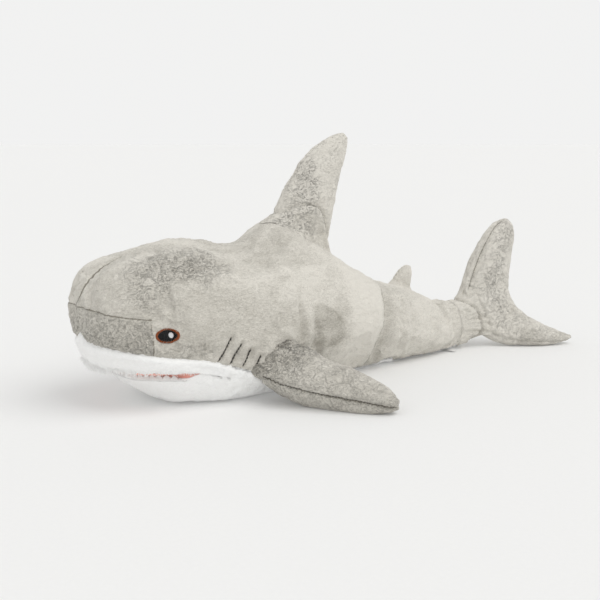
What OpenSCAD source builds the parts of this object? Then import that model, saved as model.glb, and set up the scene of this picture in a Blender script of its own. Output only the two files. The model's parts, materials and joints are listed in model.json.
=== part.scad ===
// Plush shark, lying on its belly: nose towards -Y, tail towards +Y, left flank towards +X.
// The origin is on the floor under the middle of the belly, on the plane of symmetry.

/* [Body] */
// Length from the nose to the end of the tail stock
body_length = 816; // [780:2:860]
// Greatest width of the body, just behind the gills
body_width = 260; // [244:2:276]
// Height of the head above the floor
body_height = 256; // [244:2:268]
// Thickness of the plush fabric, pile included
cloth = 4; // [3:0.5:5]

/* [Mouth] */
// Height of the mouth corner above the floor
mouth_corner_z = 58; // [54:1:62]
// Height of the mouth line at the front of the lip
mouth_front_z = 62; // [58:1:66]
// Gap between the lip and the jaw at the front
mouth_gap = 8; // [6:0.5:10]
// How far the jaw sits inside the lip
jaw_inset = 6; // [4:0.5:8]
// Teeth on each side of a jaw
teeth_per_side = 9; // [6:1:11]

/* [Face] */
// Length of the embroidered eye
eye_length = 35; // [30:1:40]
// Height of the embroidered eye
eye_height = 22; // [18:1:26]
// Stitched gill lines on each side
gill_count = 4; // [3:1:5]

/* [Fins] */
// Half thickness of the dorsal fin's filling
dorsal_half = 19; // [14:1:22]
// Half thickness of a pectoral fin's filling
pectoral_half = 18; // [14:1:20]
// Half thickness of the tail fin's filling
tail_half = 14; // [10:1:17]

/* [Hidden] */

gray = [0.74, 0.73, 0.69];
dark_gray = [0.62, 0.61, 0.57];
white = [0.94, 0.94, 0.93];
pink = [0.93, 0.72, 0.66];

// Clear gap between two pieces sewn together, and between the filling and its cover
gap = 0.4;
// Clear gap between two bodies that move on each other
move_gap = 1.2;
// Further that the loose filling stays inside the cover
slack = 3;
// Stretch of the body's stations to the driving sizes
tall = body_height / 256;
stretch = [body_length / 816, tall, tall, tall, body_width / 260, 1, 1, 1];

// Cross-sections of the body from nose to tail stock, one per row:
// [y, top z, widest z, bottom z, half width, upper fullness, lower fullness, angle of the white seam]
// A bottom below the floor is pressed flat on it. Angles run from 0 at the back to 180 at the belly.
STATIONS = [for (s = [
    [-416, 161, 160, 159, 1, 2, 2, 180],
    [-415, 169, 159, 128, 21, 2.1, 2, 180],
    [-411, 180, 156, 98, 40, 2.1, 2.1, 145],
    [-404, 190, 150, 76, 57, 2.15, 2.2, 124],
    [-394, 201, 144, 61, 73, 2.15, 2.3, 116],
    [-374, 217, 136, 47, 88, 2.15, 2.5, 110],
    [-345, 233, 125, 26, 99, 2.15, 2.7, 103],
    [-305, 246, 114, 0, 109, 2.15, 2.9, 98],
    [-262, 253, 104, -9, 117, 2.15, 3.1, 96],
    [-215, 252, 97, -11, 124, 2.1, 3.2, 98],
    [-165, 246, 94, -11, 128, 2.05, 3.2, 107],
    [-125, 250, 94, -10, 128, 1.9, 3.1, 124],
    [-75, 282, 93, -8, 124, 1.62, 2.7, 141],
    [-20, 257, 88, -6, 113, 1.7, 2.35, 148],
    [45, 220, 82, -4, 101, 1.8, 2.15, 150],
    [100, 183, 74, -4, 90, 1.95, 2.05, 151],
    [160, 153, 62, -3, 76, 2, 2, 152],
    [225, 131, 51, -3, 58, 2, 2, 153],
    [290, 107, 44, -1, 43, 2, 2, 154],
    [345, 96, 46, 4, 31, 2, 2, 155],
    [385, 93, 52, 12, 24, 2, 2, 156],
    [405, 92, 54, 18, 20, 2, 2, 157],
]) [for (k = [0:7]) s[k] * stretch[k]]];
ANGLE = 7;
nose_y = STATIONS[0][0];
stock_end_y = STATIONS[len(STATIONS) - 1][0];

// Where the body folds behind the dorsal fin, and where the mouth ends
fold_y = 148 * stretch[0];
corner_y = -262 * stretch[0];
fold_angle = 10.5;
throat_angle = 16;
mouth_start_y = -396 * stretch[0];
snout_end_y = -338 * stretch[0];

// Rows of the panels, closer together where the nose is round
nose_rows = [-415.9, -415, -412.5, -408.5, -403, -396, -386, -373, -357];
cheek_rows = [-315, -290];
torso_rows = [-262, -230, -200, -168, -135, -105, -75, -45, -10, 30, 75, 115];
rear_rows = [180, 215, 250, 290, 330, 358];
function at_scale(rows) = [for (y = rows) y * stretch[0]];
// A point, or each point of a list, moved with the driving sizes
function placed(p) = [p[0] * stretch[4], p[1] * stretch[0], p[2] * stretch[1]];
function all_placed(points) = [for (p = points) placed(p)];

// ---- Curves ----
function clamp(v, lo, hi) = max(lo, min(hi, v));
function unit(v) = v / norm(v);
function signed_power(v, p) = sign(v) * pow(abs(v), p);

// Smooth curve through a list of points, u from 0 to 1
function curve(points, u) =
    let (n = len(points) - 1)
    let (i = min(floor(u * n), n - 1))
    let (t = u * n - i)
    let (p0 = points[max(i - 1, 0)], p1 = points[i], p2 = points[i + 1], p3 = points[min(i + 2, n)])
    0.5 * (2 * p1 + (p2 - p0) * t + (2 * p0 - 5 * p1 + 4 * p2 - p3) * t * t
        + (3 * p1 - p0 - 3 * p2 + p3) * t * t * t);

// Slope of the station table at station i
function slope(i) =
    let (a = max(i - 1, 0), b = min(i + 1, len(STATIONS) - 1))
    (STATIONS[b] - STATIONS[a]) / (STATIONS[b][0] - STATIONS[a][0]);

// The body's cross-section at y
function station(y) =
    let (i = min(max(len([for (s = STATIONS) if (s[0] <= y) 1]) - 1, 0), len(STATIONS) - 2))
    let (a = STATIONS[i], b = STATIONS[i + 1], h = b[0] - a[0])
    let (t = clamp((y - a[0]) / h, 0, 1), m0 = slope(i) * h, m1 = slope(i + 1) * h)
    a * (2 * pow(t, 3) - 3 * t * t + 1) + m0 * (pow(t, 3) - 2 * t * t + t)
        + b * (3 * t * t - 2 * pow(t, 3)) + m1 * (pow(t, 3) - t * t);

// ---- Body skin ----
// Half width and height of the skin at y and angle a, before it is pressed on the floor
function skin_xz(y, a) =
    let (s = station(y), upper = cos(a) >= 0)
    let (fullness = upper ? s[5] : s[6], reach = upper ? s[1] - s[2] : s[2] - s[3])
    [s[4] * signed_power(sin(a), 2 / fullness), s[2] + reach * signed_power(cos(a), 2 / fullness)];
function raw_skin(y, a) =
    let (q = skin_xz(y, a))
    [q[0], y, max(q[1], 0)];
function skin_normal(y, a) =
    let (dy = raw_skin(y + 0.4, a) - raw_skin(y - 0.05, a))
    let (da = raw_skin(y, a + 0.7) - raw_skin(y, a - 0.7))
    let (n = cross(da, dy))
    norm(n) < 0.000001 ? [0, -1, 0] : unit(n);
// Ends of the bodies are cut so that they can swing: the fold, the throat and the round end of the stock
fold_front = fold_y - 0.001;
fold_back = fold_y + 0.001;
throat = corner_y + 0.001;
stock_back = stock_end_y - 0.001;
function cut_y(y, p) =
    y == fold_front ? fold_y - move_gap / 2 - abs(p[0]) * tan(fold_angle)
    : y == fold_back ? fold_y + move_gap / 2 + abs(p[0]) * tan(fold_angle)
    : y == throat ? corner_y + move_gap / 2 + max(0, mouth_corner_z - p[2]) * tan(throat_angle)
    : y == stock_back ? stock_end_y - 5 - 34 * pow(max(0, p[2] - 42) / 52, 2)
    : y;
// A point of the skin, depth mm inside it
function skin(y, a, depth) =
    let (y1 = cut_y(y, raw_skin(y, a)))
    let (p = raw_skin(y1, a) - depth * skin_normal(y1, a))
    let (floor_z = min(depth, cloth + gap))
    [p[0], y1 == y ? p[1] : y1, max(p[2], max(floor_z, 0))];
// Angle at which the skin at y has height z below its widest level
function angle_at(y, z) =
    let (s = station(y))
    let (f = (s[2] - z) / (s[2] - s[3]))
    f >= 1 ? 180 : f <= 0 ? 90 : 90 + asin(pow(f, s[6] / 2));
// Angle above the widest level
function upper_angle_at(y, z) =
    let (s = station(y))
    let (f = clamp((z - s[2]) / (s[1] - s[2]), 0, 1))
    90 - asin(pow(f, s[5] / 2));
function any_angle_at(y, z) = z > station(y)[2] ? upper_angle_at(y, z) : angle_at(y, z);
function white_seam(y) = min(station(y)[ANGLE], 180);
// The dart from the nose tip to the eye, and how far it comes down on the way
dart_z = 161 * stretch[1];
dart_drop = 15 * stretch[1];
function dart_angle(y) =
    any_angle_at(y, dart_z - dart_drop * clamp((y - nose_y) / (snout_end_y - nose_y), 0, 1));
function mouth_z(y) =
    let (t = clamp((corner_y - y) / (corner_y - mouth_start_y), 0, 1))
    mouth_corner_z + (mouth_front_z - mouth_corner_z) * t;
// Half the gap of the mouth, which closes over the last part before the corner
corner_half = 0.6;
corner_fade = 60;
function mouth_half(y) =
    corner_half + (mouth_gap / 2 - corner_half) * clamp((corner_y - y) / corner_fade, 0, 1);
function lip_angle(y) =
    y >= corner_y - 1 ? white_seam(y) : min(180 - gap, angle_at(y, mouth_z(y) + mouth_half(y)));
function jaw_angle(y) = min(174, angle_at(y, mouth_z(y) - mouth_half(y)));
// Thickness of the mouth's linings, and how far the jaw's cover stays under the floor lining
lining = 1.6;
lid_drop = 4.8;

// ---- Solids from grids of points ----
// A closed slab between two grids of the same size, rows x columns
module slab(outer, inner) {
    n = len(outer);
    m = len(outer[0]);
    function at(i, j, k) = (k * n + i) * m + j;
    points = [for (g = [outer, inner]) for (row = g) for (p = row) p];
    faces = [
        for (i = [0:n - 2]) for (j = [0:m - 2]) for (f = [
            [at(i, j, 0), at(i + 1, j, 0), at(i + 1, j + 1, 0)],
            [at(i, j, 0), at(i + 1, j + 1, 0), at(i, j + 1, 0)],
            [at(i, j, 1), at(i + 1, j + 1, 1), at(i + 1, j, 1)],
            [at(i, j, 1), at(i, j + 1, 1), at(i + 1, j + 1, 1)],
        ]) f,
        for (i = [0:n - 2]) for (f = [
            [at(i, 0, 0), at(i + 1, 0, 1), at(i + 1, 0, 0)],
            [at(i, 0, 0), at(i, 0, 1), at(i + 1, 0, 1)],
            [at(i, m - 1, 0), at(i + 1, m - 1, 0), at(i + 1, m - 1, 1)],
            [at(i, m - 1, 0), at(i + 1, m - 1, 1), at(i, m - 1, 1)],
        ]) f,
        for (j = [0:m - 2]) for (f = [
            [at(0, j, 0), at(0, j + 1, 0), at(0, j + 1, 1)],
            [at(0, j, 0), at(0, j + 1, 1), at(0, j, 1)],
            [at(n - 1, j, 0), at(n - 1, j + 1, 1), at(n - 1, j + 1, 0)],
            [at(n - 1, j, 0), at(n - 1, j, 1), at(n - 1, j + 1, 1)],
        ]) f,
    ];
    polyhedron(points, faces, convexity = 10);
}

// A closed solid through rings of points, with a fan at each end
module ring_solid(rings, first, last) {
    n = len(rings);
    m = len(rings[0]);
    points = concat([for (r = rings) for (p = r) p], [first, last]);
    faces = [
        for (i = [0:n - 2]) for (j = [0:m - 1]) for (f = [
            [i * m + j, (i + 1) * m + j, (i + 1) * m + (j + 1) % m],
            [i * m + j, (i + 1) * m + (j + 1) % m, i * m + (j + 1) % m],
        ]) f,
        for (j = [0:m - 1]) [n * m, j, (j + 1) % m],
        for (j = [0:m - 1]) [n * m + 1, (n - 1) * m + (j + 1) % m, (n - 1) * m + j],
    ];
    polyhedron(points, faces, convexity = 10);
}

// A fabric panel over rows of y, between two angles given for each row
module panel(rows, angles, steps, depth = 0) {
    grid = function (d) [for (i = [0:len(rows) - 1]) [for (j = [0:steps])
        skin(rows[i], angles[i][0] + (angles[i][1] - angles[i][0]) * j / steps, d)]];
    slab(grid(depth), grid(depth + cloth));
}

// The stuffing under the panels, over rows of y and between two angles
module filling(rows, angles, steps, depth = 0) {
    d = depth + cloth + slack;
    rings = [for (i = [0:len(rows) - 1]) [for (j = [0:steps])
        skin(rows[i], angles[i][0] + (angles[i][1] - angles[i][0]) * j / steps, d)]];
    centre = function (ring, y)
        [0, cut_y(y, [0, 0, mouth_corner_z]), (ring[0][2] + ring[floor(steps / 2)][2]) / 2];
    ring_solid(rings, centre(rings[0], rows[0]), centre(rings[len(rows) - 1], rows[len(rows) - 1]));
}

module right_side() {
    mirror([1, 0, 0]) children();
}

// ---- Torso ----
module back_panel() {
    front = concat(at_scale(nose_rows), [snout_end_y - 0.5]);
    rear = concat([snout_end_y + 0.5], at_scale(cheek_rows), at_scale(torso_rows), [fold_front]);
    rows = concat(front, rear);
    angles = [for (y = rows) [0.4, (y < snout_end_y ? dart_angle(y) : white_seam(y)) - 0.4]];
    color(gray) panel(rows, angles, 11);
}
module back_panel_left() { back_panel(); }
module back_panel_right() { right_side() back_panel(); }

module snout_panel() {
    rows = concat(at_scale(nose_rows), [snout_end_y - 0.5]);
    angles = [for (y = rows) [dart_angle(y) + 0.4, white_seam(y) - 0.4]];
    color(dark_gray) panel(rows, angles, 6);
}
module snout_panel_left() { snout_panel(); }
module snout_panel_right() { right_side() snout_panel(); }

// The white lip hangs over the mouth and runs back to its corner on each side
module half_lip() {
    rows = at_scale([-414.7, -413, -410, -406, -402, -397, -391, -382, -371, -356, -338, -315, -290, -268]);
    angles = [for (y = rows) [min(white_seam(y) + 0.4, 178.4),
        min(179.8, max(lip_angle(y), white_seam(y) + 3))]];
    panel(rows, angles, 4);
}
module upper_lip_panel() {
    color(white) {
        half_lip();
        right_side() half_lip();
    }
}

module belly_panel() {
    rows = concat([throat], at_scale([-215, -168, -125, -75, -20, 45, 100]), [fold_front]);
    angles = [for (y = rows) [white_seam(y) + 0.4, 359.6 - white_seam(y)]];
    color(white) panel(rows, angles, 16);
}

module head_filling() {
    rows = at_scale([-409, -404, -396, -384, -365, -338, -300, -263]);
    angles = [for (y = rows)
        let (a = y < mouth_start_y ? 178 : angle_at(y, mouth_z(y) + mouth_half(y) + 4))
        [-a, a]];
    color(white) filling(rows, angles, 17);
}

module torso_filling() {
    rows = concat([throat], [for (y = at_scale(torso_rows)) if (y > corner_y) y], [fold_front]);
    angles = [for (y = rows) [0, 342]];
    color(white) filling(rows, angles, 19);
}

// A sheet of lining across the mouth, its top at the given height above the mouth line
module mouth_sheet(lift, margin) {
    rows = at_scale([-386, -372, -350, -320, -290, -266]);
    across = [-1, -0.5, 0, 0.5, 1];
    half = function (y) skin_xz(y, angle_at(y, mouth_z(y)))[0] - margin;
    side = function (rise) [for (y = rows) [for (t = across) [t * half(y), y, mouth_z(y) + lift + rise]]];
    slab(side(lining), side(0));
}
module mouth_roof_lining() {
    color(pink) mouth_sheet(2.2, cloth + 2);
}

// A row of felt teeth round the mouth, points at height tip above the mouth line
module teeth(root, tip, inset) {
    for (side = [-1, 1], k = [0:teeth_per_side - 1]) {
        y = (-384 + 98 * pow(k / teeth_per_side, 1.25)) * stretch[0];
        half = skin_xz(y, angle_at(y, mouth_z(y)))[0] - inset;
        translate([side * half, y, mouth_z(y)])
        rotate([90, 0, side * (30 + 50 * k / teeth_per_side)])
        linear_extrude(2, center = true) polygon([[-4.4, root], [4.4, root], [0, tip]]);
    }
}
module upper_teeth() {
    color(white) teeth(2, -2.6, cloth + 5);
}

// ---- Face ----
eye_y = -315 * stretch[0];
eye_z = 121 * stretch[1];
// A point of the skin at a fraction r of an oval, in direction t degrees, proud of the skin by d
function oval_spot(y, z, length, height, r, t, d) =
    let (py = y + length / 2 * r * cos(t))
    skin(py, any_angle_at(py, z + height / 2 * r * sin(t)), -d);
oval_sides = 20;
// A flat oval of embroidery on the skin, from base to top above it
module oval_patch(y, z, length, height, size, base, top) {
    ring = function (d) [for (k = [0:oval_sides - 1])
        oval_spot(y, z, length, height, size, -360 * k / oval_sides, d)];
    ring_solid([ring(top), ring(base)], oval_spot(y, z, length, height, 0, 0, top),
        oval_spot(y, z, length, height, 0, 0, base));
}
// The same with a hole, as a closed band
module oval_band(y, z, length, height, inner, outer, base, top) {
    corners = [[inner, top], [outer, top], [outer, base], [inner, base]];
    points = [for (k = [0:oval_sides - 1]) for (c = corners)
        oval_spot(y, z, length, height, c[0], -360 * k / oval_sides, c[1])];
    function at(k, c) = (k % oval_sides) * 4 + c % 4;
    faces = [for (k = [0:oval_sides - 1]) for (c = [0:3]) for (f = [
        [at(k, c), at(k + 1, c + 1), at(k + 1, c)],
        [at(k, c), at(k, c + 1), at(k + 1, c + 1)],
    ]) f];
    polyhedron(points, faces, convexity = 4);
}
module eye_ring() {
    color("saddlebrown")
    oval_band(eye_y, eye_z, eye_length, eye_height, 0.78, 1, 0.3, 1.3);
}
module pupil() {
    color("black")
    oval_patch(eye_y, eye_z, eye_length, eye_height, 0.76, 0.3, 1.3);
}
module eye_glint() {
    color("white")
    oval_patch(eye_y + 4.5, eye_z + 0.5, 8.5, 8.5, 1, 1.5, 2.2);
}
module eye_ring_left() { eye_ring(); }
module eye_ring_right() { right_side() eye_ring(); }
module pupil_left() { pupil(); }
module pupil_right() { right_side() pupil(); }
module eye_glint_left() { eye_glint(); }
module eye_glint_right() { right_side() eye_glint(); }

// Slanting lines of thick thread, each shorter than the one before
module gill_stitches() {
    for (k = [0:gill_count - 1]) {
        top = placed([0, -219 + 16 * k, 111 - 11 * k]);
        foot = placed([0, -239 + 20 * k, 76 - 6.5 * k]);
        at = function (t, w, d) let (q = top + (foot - top) * t)
            skin(q[1] + w, any_angle_at(q[1] + w, q[2]), d);
        grid = function (d) [for (t = [0:0.25:1]) [for (w = [-1.2, 1.2]) at(t, w, d)]];
        color([0.2, 0.2, 0.19]) slab(grid(-0.3), grid(-1.4));
    }
}
module gill_stitches_left() { gill_stitches(); }
module gill_stitches_right() { right_side() gill_stitches(); }

// ---- Jaw ----
jaw_rows = at_scale([-381, -378, -372, -362, -347, -326, -300, -280, -263.5]);
// The jaw sits inside the lip at the front and comes out flush with the cheek at the corner
function jaw_depth(y) = jaw_inset * clamp((corner_y - y) / corner_fade, 0, 1);
function under_lid(y, p, extra) = [p[0], p[1], min(p[2], mouth_z(y) - lid_drop - extra)];
module jaw_panel() {
    grid = function (d) [for (y = jaw_rows) let (a = jaw_angle(y)) [for (j = [0:16])
        under_lid(y, skin(y, a + (360 - 2 * a) * j / 16, jaw_depth(y) + d), 0)]];
    color(white) slab(grid(0), grid(cloth));
}
module jaw_filling() {
    rows = [for (i = [1:len(jaw_rows) - 2]) jaw_rows[i]];
    rings = [for (y = rows) let (a = jaw_angle(y)) [for (j = [0:16])
        under_lid(y, skin(y, a + (360 - 2 * a) * j / 16, jaw_depth(y) + cloth + 2 * slack), 1)]];
    centre = function (i) [0, rows[i], (rings[i][0][2] + rings[i][6][2]) / 2];
    color(white) ring_solid(rings, centre(0), centre(len(rows) - 1));
}
module mouth_floor_lining() {
    color(pink) mouth_sheet(-4.2, cloth + jaw_inset + 1);
}
module lower_teeth() {
    color(white) teeth(-2.4, 1.6, cloth + jaw_inset + 5);
}

// ---- Rear body ----
module rear_panel() {
    rows = concat([fold_back], at_scale(rear_rows), [stock_back]);
    angles = [for (y = rows) [0.4, white_seam(y) - 0.4]];
    color(gray) panel(rows, angles, 8);
}
module rear_panel_left() { rear_panel(); }
module rear_panel_right() { right_side() rear_panel(); }
module rear_belly_panel() {
    rows = concat([fold_back], at_scale([200, 250, 300, 345, 378]), [stock_back]);
    angles = [for (y = rows) [white_seam(y) + 0.4, 359.6 - white_seam(y)]];
    color(white) panel(rows, angles, 6);
}
module rear_filling() {
    rows = concat([fold_back], at_scale([190, 230, 270, 310, 345]), [365 * stretch[0]]);
    angles = [for (y = rows) [0, 336]];
    color(white) filling(rows, angles, 14);
}
// A folded woven label, sewn into the seam under the tail stock
label_y = 310 * stretch[0];
module care_label() {
    color("whitesmoke")
    translate([15, label_y, 0.5])
    rotate([0, 0, 35])
    cube([26, 14, 1]);
}

// ---- Fins ----
// Point of a fin: s from root to tip, c from front edge to back edge, off the middle by side * offset
// Half thickness there; a lower bluntness makes the edges fuller
round_edge = 0.5;
function fin_profile(half, s, c, bluntness) = curve(half, s) * pow(max(0, 4 * c * (1 - c)), bluntness);
function fin_point(front, back, s, c, offset) =
    let (f = curve(front, s), b = curve(back, s))
    let (s0 = max(s - 0.02, 0), s1 = min(s + 0.02, 1))
    let (span = curve(front, s1) + curve(back, s1) - curve(front, s0) - curve(back, s0))
    let (n = unit(cross(b - f, span)))
    f + (b - f) * c + n * offset;

fin_chord = [0, 0.03, 0.1, 0.22, 0.4, 0.6, 0.78, 0.9, 0.97, 1];
// One fabric side of a fin: side is 1 for the face along the normal, -1 for the other
module fin_panel(front, back, half, side, rows, bluntness = round_edge) {
    grid = function (outer) [for (i = [0:rows]) let (s = i / rows) [for (c = fin_chord)
        let (h = fin_profile(half, s, c, bluntness))
        let (offset = outer ? h + cloth : max(h, gap / 2))
        above_floor(fin_point(front, back, s, c, side * offset), outer ? 0 : 1)]];
    if (side > 0) slab(grid(true), grid(false));
    else slab(grid(false), grid(true));
}
function above_floor(p, depth) = [p[0], p[1], max(p[2], cloth * depth)];
// The stuffing between the two sides, whose half thicknesses may differ
module fin_filling(front, back, minus_half, plus_half, rows, plus_bluntness = round_edge) {
    chord = [0.08, 0.22, 0.4, 0.6, 0.78, 0.92];
    grid = function (half, side, bluntness)
        [for (i = [0:rows]) let (s = 0.06 + 0.86 * i / rows) [for (c = chord)
        let (h = max(fin_profile(half, s, c, bluntness) - 1, 0.5))
        above_floor(fin_point(front, back, s, c, side * h), 1.3)]];
    slab(grid(plus_half, 1, plus_bluntness), grid(minus_half, -1, round_edge));
}

// Dorsal fin, from the raised back to its swept tip
dorsal_front = all_placed([
    [0, -66, 289], [0, -47, 319], [0, -29, 345], [0, -6, 374],
    [0, 18, 396], [0, 45, 412], [0, 70, 421],
]);
dorsal_back = all_placed([
    [0, 45, 230], [0, 46, 258], [0, 51, 291], [0, 60, 326],
    [0, 70, 360], [0, 80, 389], [0, 84, 411],
]);
dorsal_thickness = [for (t = [0.12, 0.95, 1, 0.86, 0.66, 0.42, 0.1]) t * dorsal_half];
module dorsal_fin_panel_left() {
    color(gray) fin_panel(dorsal_front, dorsal_back, dorsal_thickness, 1, 12);
}
module dorsal_fin_panel_right() {
    color(gray) fin_panel(dorsal_front, dorsal_back, dorsal_thickness, -1, 12);
}
module dorsal_fin_filling() {
    color(white) fin_filling(dorsal_front, dorsal_back, dorsal_thickness, dorsal_thickness, 8);
}

// Small rear dorsal fin
rear_dorsal_front = all_placed([[0, 193, 147.5], [0, 203, 158], [0, 214, 168], [0, 223, 173.5]]);
rear_dorsal_back = all_placed([[0, 236, 130], [0, 236, 145], [0, 238, 160], [0, 235, 172]]);
rear_dorsal_thickness = [0.6, 3, 2.4, 0.4];
module rear_dorsal_fin_panel_left() {
    color(gray) fin_panel(rear_dorsal_front, rear_dorsal_back, rear_dorsal_thickness, 1, 5);
}
module rear_dorsal_fin_panel_right() {
    color(gray) fin_panel(rear_dorsal_front, rear_dorsal_back, rear_dorsal_thickness, -1, 5);
}

// Pectoral fin, drooping to the floor: front edge and back edge from root to tip
pectoral_front = all_placed([
    [131, -182, 51], [149, -168, 45], [177, -148, 37], [210, -123, 30],
    [243, -93, 24], [271, -66, 19], [292, -42, 14],
]);
pectoral_back = all_placed([
    [135, -88, 80], [148, -83, 74], [166, -75, 64], [190, -56, 53],
    [222, -34, 40], [258, -18, 27], [289, -22, 16],
]);
pectoral_top = [for (t = [0.15, 0.8, 1, 0.95, 0.86, 0.62, 0.3]) t * pectoral_half];
// The underside hangs fuller than the top and is pressed flat on the floor
pectoral_under = [for (t = [0.15, 1.2, 1.8, 1.95, 1.7, 1.15, 0.45]) t * pectoral_half];
pectoral_bluntness = 0.3;
module left_pectoral_top_panel() {
    color(dark_gray) fin_panel(pectoral_front, pectoral_back, pectoral_top, -1, 12);
}
module left_pectoral_bottom_panel() {
    color(dark_gray) fin_panel(pectoral_front, pectoral_back, pectoral_under, 1, 12, pectoral_bluntness);
}
module left_pectoral_filling() {
    color(white)
    fin_filling(pectoral_front, pectoral_back, pectoral_top, pectoral_under, 8, pectoral_bluntness);
}
module right_pectoral_top_panel() { right_side() left_pectoral_top_panel(); }
module right_pectoral_bottom_panel() { right_side() left_pectoral_bottom_panel(); }
module right_pectoral_filling() { right_side() left_pectoral_filling(); }

// Tail fin: the upper lobe stands up, the lower lobe lies along the floor and bends to the left
tail_front = all_placed([
    [0, 470, 249], [0, 447, 238], [0, 424, 216], [0, 401, 184], [0, 383, 148], [1, 372, 113],
    [3, 388, 86], [7, 406, 62], [12, 412, 40], [22, 421, 20], [40, 440, 9], [65, 472, 4],
    [86, 508, 3], [96, 545, 4], [98, 573, 8],
]);
tail_back = all_placed([
    [0, 488, 250], [0, 502, 236], [0, 506, 212], [0, 500, 180], [0, 496, 152], [2, 493, 124],
    [5, 492, 106], [10, 493, 92], [18, 494, 80], [30, 496, 69], [46, 503, 57], [64, 519, 43],
    [80, 540, 31], [92, 562, 21], [97, 578, 14],
]);
tail_shares = [0.1, 0.5, 0.8, 0.95, 1, 0.9, 0.9, 0.9, 0.9, 1, 1, 0.95, 0.8, 0.6, 0.25];
tail_thickness = [for (t = tail_shares) t * tail_half];
module tail_fin_panel_left() {
    color(gray) fin_panel(tail_front, tail_back, tail_thickness, -1, 26);
}
module tail_fin_panel_right() {
    color(gray) fin_panel(tail_front, tail_back, tail_thickness, 1, 26);
}
module tail_fin_filling() {
    color(white) fin_filling(tail_front, tail_back, tail_thickness, tail_thickness, 18);
}

back_panel_left();
back_panel_right();
snout_panel_left();
snout_panel_right();
upper_lip_panel();
belly_panel();
head_filling();
torso_filling();
mouth_roof_lining();
upper_teeth();
eye_ring_left();
eye_ring_right();
pupil_left();
pupil_right();
eye_glint_left();
eye_glint_right();
gill_stitches_left();
gill_stitches_right();
jaw_panel();
jaw_filling();
mouth_floor_lining();
lower_teeth();
rear_panel_left();
rear_panel_right();
rear_belly_panel();
rear_filling();
care_label();
tail_fin_panel_left();
tail_fin_panel_right();
tail_fin_filling();
dorsal_fin_panel_left();
dorsal_fin_panel_right();
dorsal_fin_filling();
rear_dorsal_fin_panel_left();
rear_dorsal_fin_panel_right();
left_pectoral_top_panel();
left_pectoral_bottom_panel();
left_pectoral_filling();
right_pectoral_top_panel();
right_pectoral_bottom_panel();
right_pectoral_filling();
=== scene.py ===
import json
import math

import bmesh
import bpy
import numpy as np
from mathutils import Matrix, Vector
from mathutils.bvhtree import BVHTree


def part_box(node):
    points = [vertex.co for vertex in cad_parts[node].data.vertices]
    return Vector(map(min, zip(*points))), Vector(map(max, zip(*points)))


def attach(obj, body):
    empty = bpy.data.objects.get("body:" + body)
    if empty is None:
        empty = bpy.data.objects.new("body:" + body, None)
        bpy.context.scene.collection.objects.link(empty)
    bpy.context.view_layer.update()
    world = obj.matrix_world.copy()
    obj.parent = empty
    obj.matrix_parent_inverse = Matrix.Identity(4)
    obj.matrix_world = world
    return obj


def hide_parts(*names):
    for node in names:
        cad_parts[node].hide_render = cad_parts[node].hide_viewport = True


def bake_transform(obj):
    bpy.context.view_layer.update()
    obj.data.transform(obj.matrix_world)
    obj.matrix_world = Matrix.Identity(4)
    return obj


# Looks of the plush shark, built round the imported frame.
# Metres, nose towards -Y, tail towards +Y, left flank towards +X, floor at z 0.

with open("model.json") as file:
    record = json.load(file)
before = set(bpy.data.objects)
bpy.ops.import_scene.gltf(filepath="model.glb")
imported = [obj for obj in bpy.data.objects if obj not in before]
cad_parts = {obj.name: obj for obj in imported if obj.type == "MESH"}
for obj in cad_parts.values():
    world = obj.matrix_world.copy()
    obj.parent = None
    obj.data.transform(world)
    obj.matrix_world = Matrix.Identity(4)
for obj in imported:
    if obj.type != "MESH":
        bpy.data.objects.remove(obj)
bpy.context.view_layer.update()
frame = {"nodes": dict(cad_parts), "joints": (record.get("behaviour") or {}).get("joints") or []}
MM = 0.001


# ---- Numbers ----
def unit(v):
    return v / np.maximum(np.linalg.norm(v, axis=-1, keepdims=True), 1e-12)


def smooth(x, low, high):
    """0 below low, 1 above high, smooth between them."""
    t = np.clip((x - low) / (high - low), 0, 1)
    return t * t * (3 - 2 * t)


def bump(d, width):
    return np.exp(-((d / width) ** 2))


def hashed(x, y, z, seed):
    h = x * 374761393 + y * 668265263 + z * 1442695041 + seed * 1013904223
    h = (h ^ (h >> 13)) * 1274126177
    h = h ^ (h >> 16)
    return (h & 0xFFFFFF) / 8388607.5 - 1.0


def noise(points, size, seed=0):
    """Smooth random values from -1 to 1 that change over about size."""
    p = points / size + 57.3
    cell = np.floor(p).astype(np.int64)
    f = p - cell
    f = f * f * f * (f * (6 * f - 15) + 10)
    total = np.zeros(points.shape[:-1])
    for corner in np.ndindex(2, 2, 2):
        w = np.ones(points.shape[:-1])
        for k in range(3):
            w = w * (f[..., k] if corner[k] else 1 - f[..., k])
        c = cell + np.array(corner)
        total += w * hashed(c[..., 0], c[..., 1], c[..., 2], seed)
    return total


def line_distance(points, line):
    """Distance of each point from a polyline, and the length along it to the nearest place."""
    line = np.asarray(line, float)
    best = np.full(points.shape[:-1], 1e9)
    along = np.zeros(points.shape[:-1])
    run = 0.0
    for a, b in zip(line[:-1], line[1:]):
        d = b - a
        size = max(np.linalg.norm(d), 1e-9)
        t = np.clip(((points - a) @ d) / size**2, 0, 1)
        gap = np.linalg.norm(points - a - t[..., None] * d, axis=-1)
        nearer = gap < best
        best = np.where(nearer, gap, best)
        along = np.where(nearer, run + t * size, along)
        run += size
    return best, along


def blurred(a, sigma, axis):
    """Gaussian smoothing along one axis, with the ends held."""
    reach = int(3 * sigma) + 1
    k = np.exp(-0.5 * (np.arange(-reach, reach + 1) / sigma) ** 2)
    k /= k.sum()
    pad = [(0, 0)] * a.ndim
    pad[axis] = (reach, reach)
    p = np.pad(a, pad, mode="reflect" if axis else "edge")
    n = a.shape[axis]
    return sum(w * np.take(p, np.arange(i, i + n), axis=axis) for i, w in enumerate(k))


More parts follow.
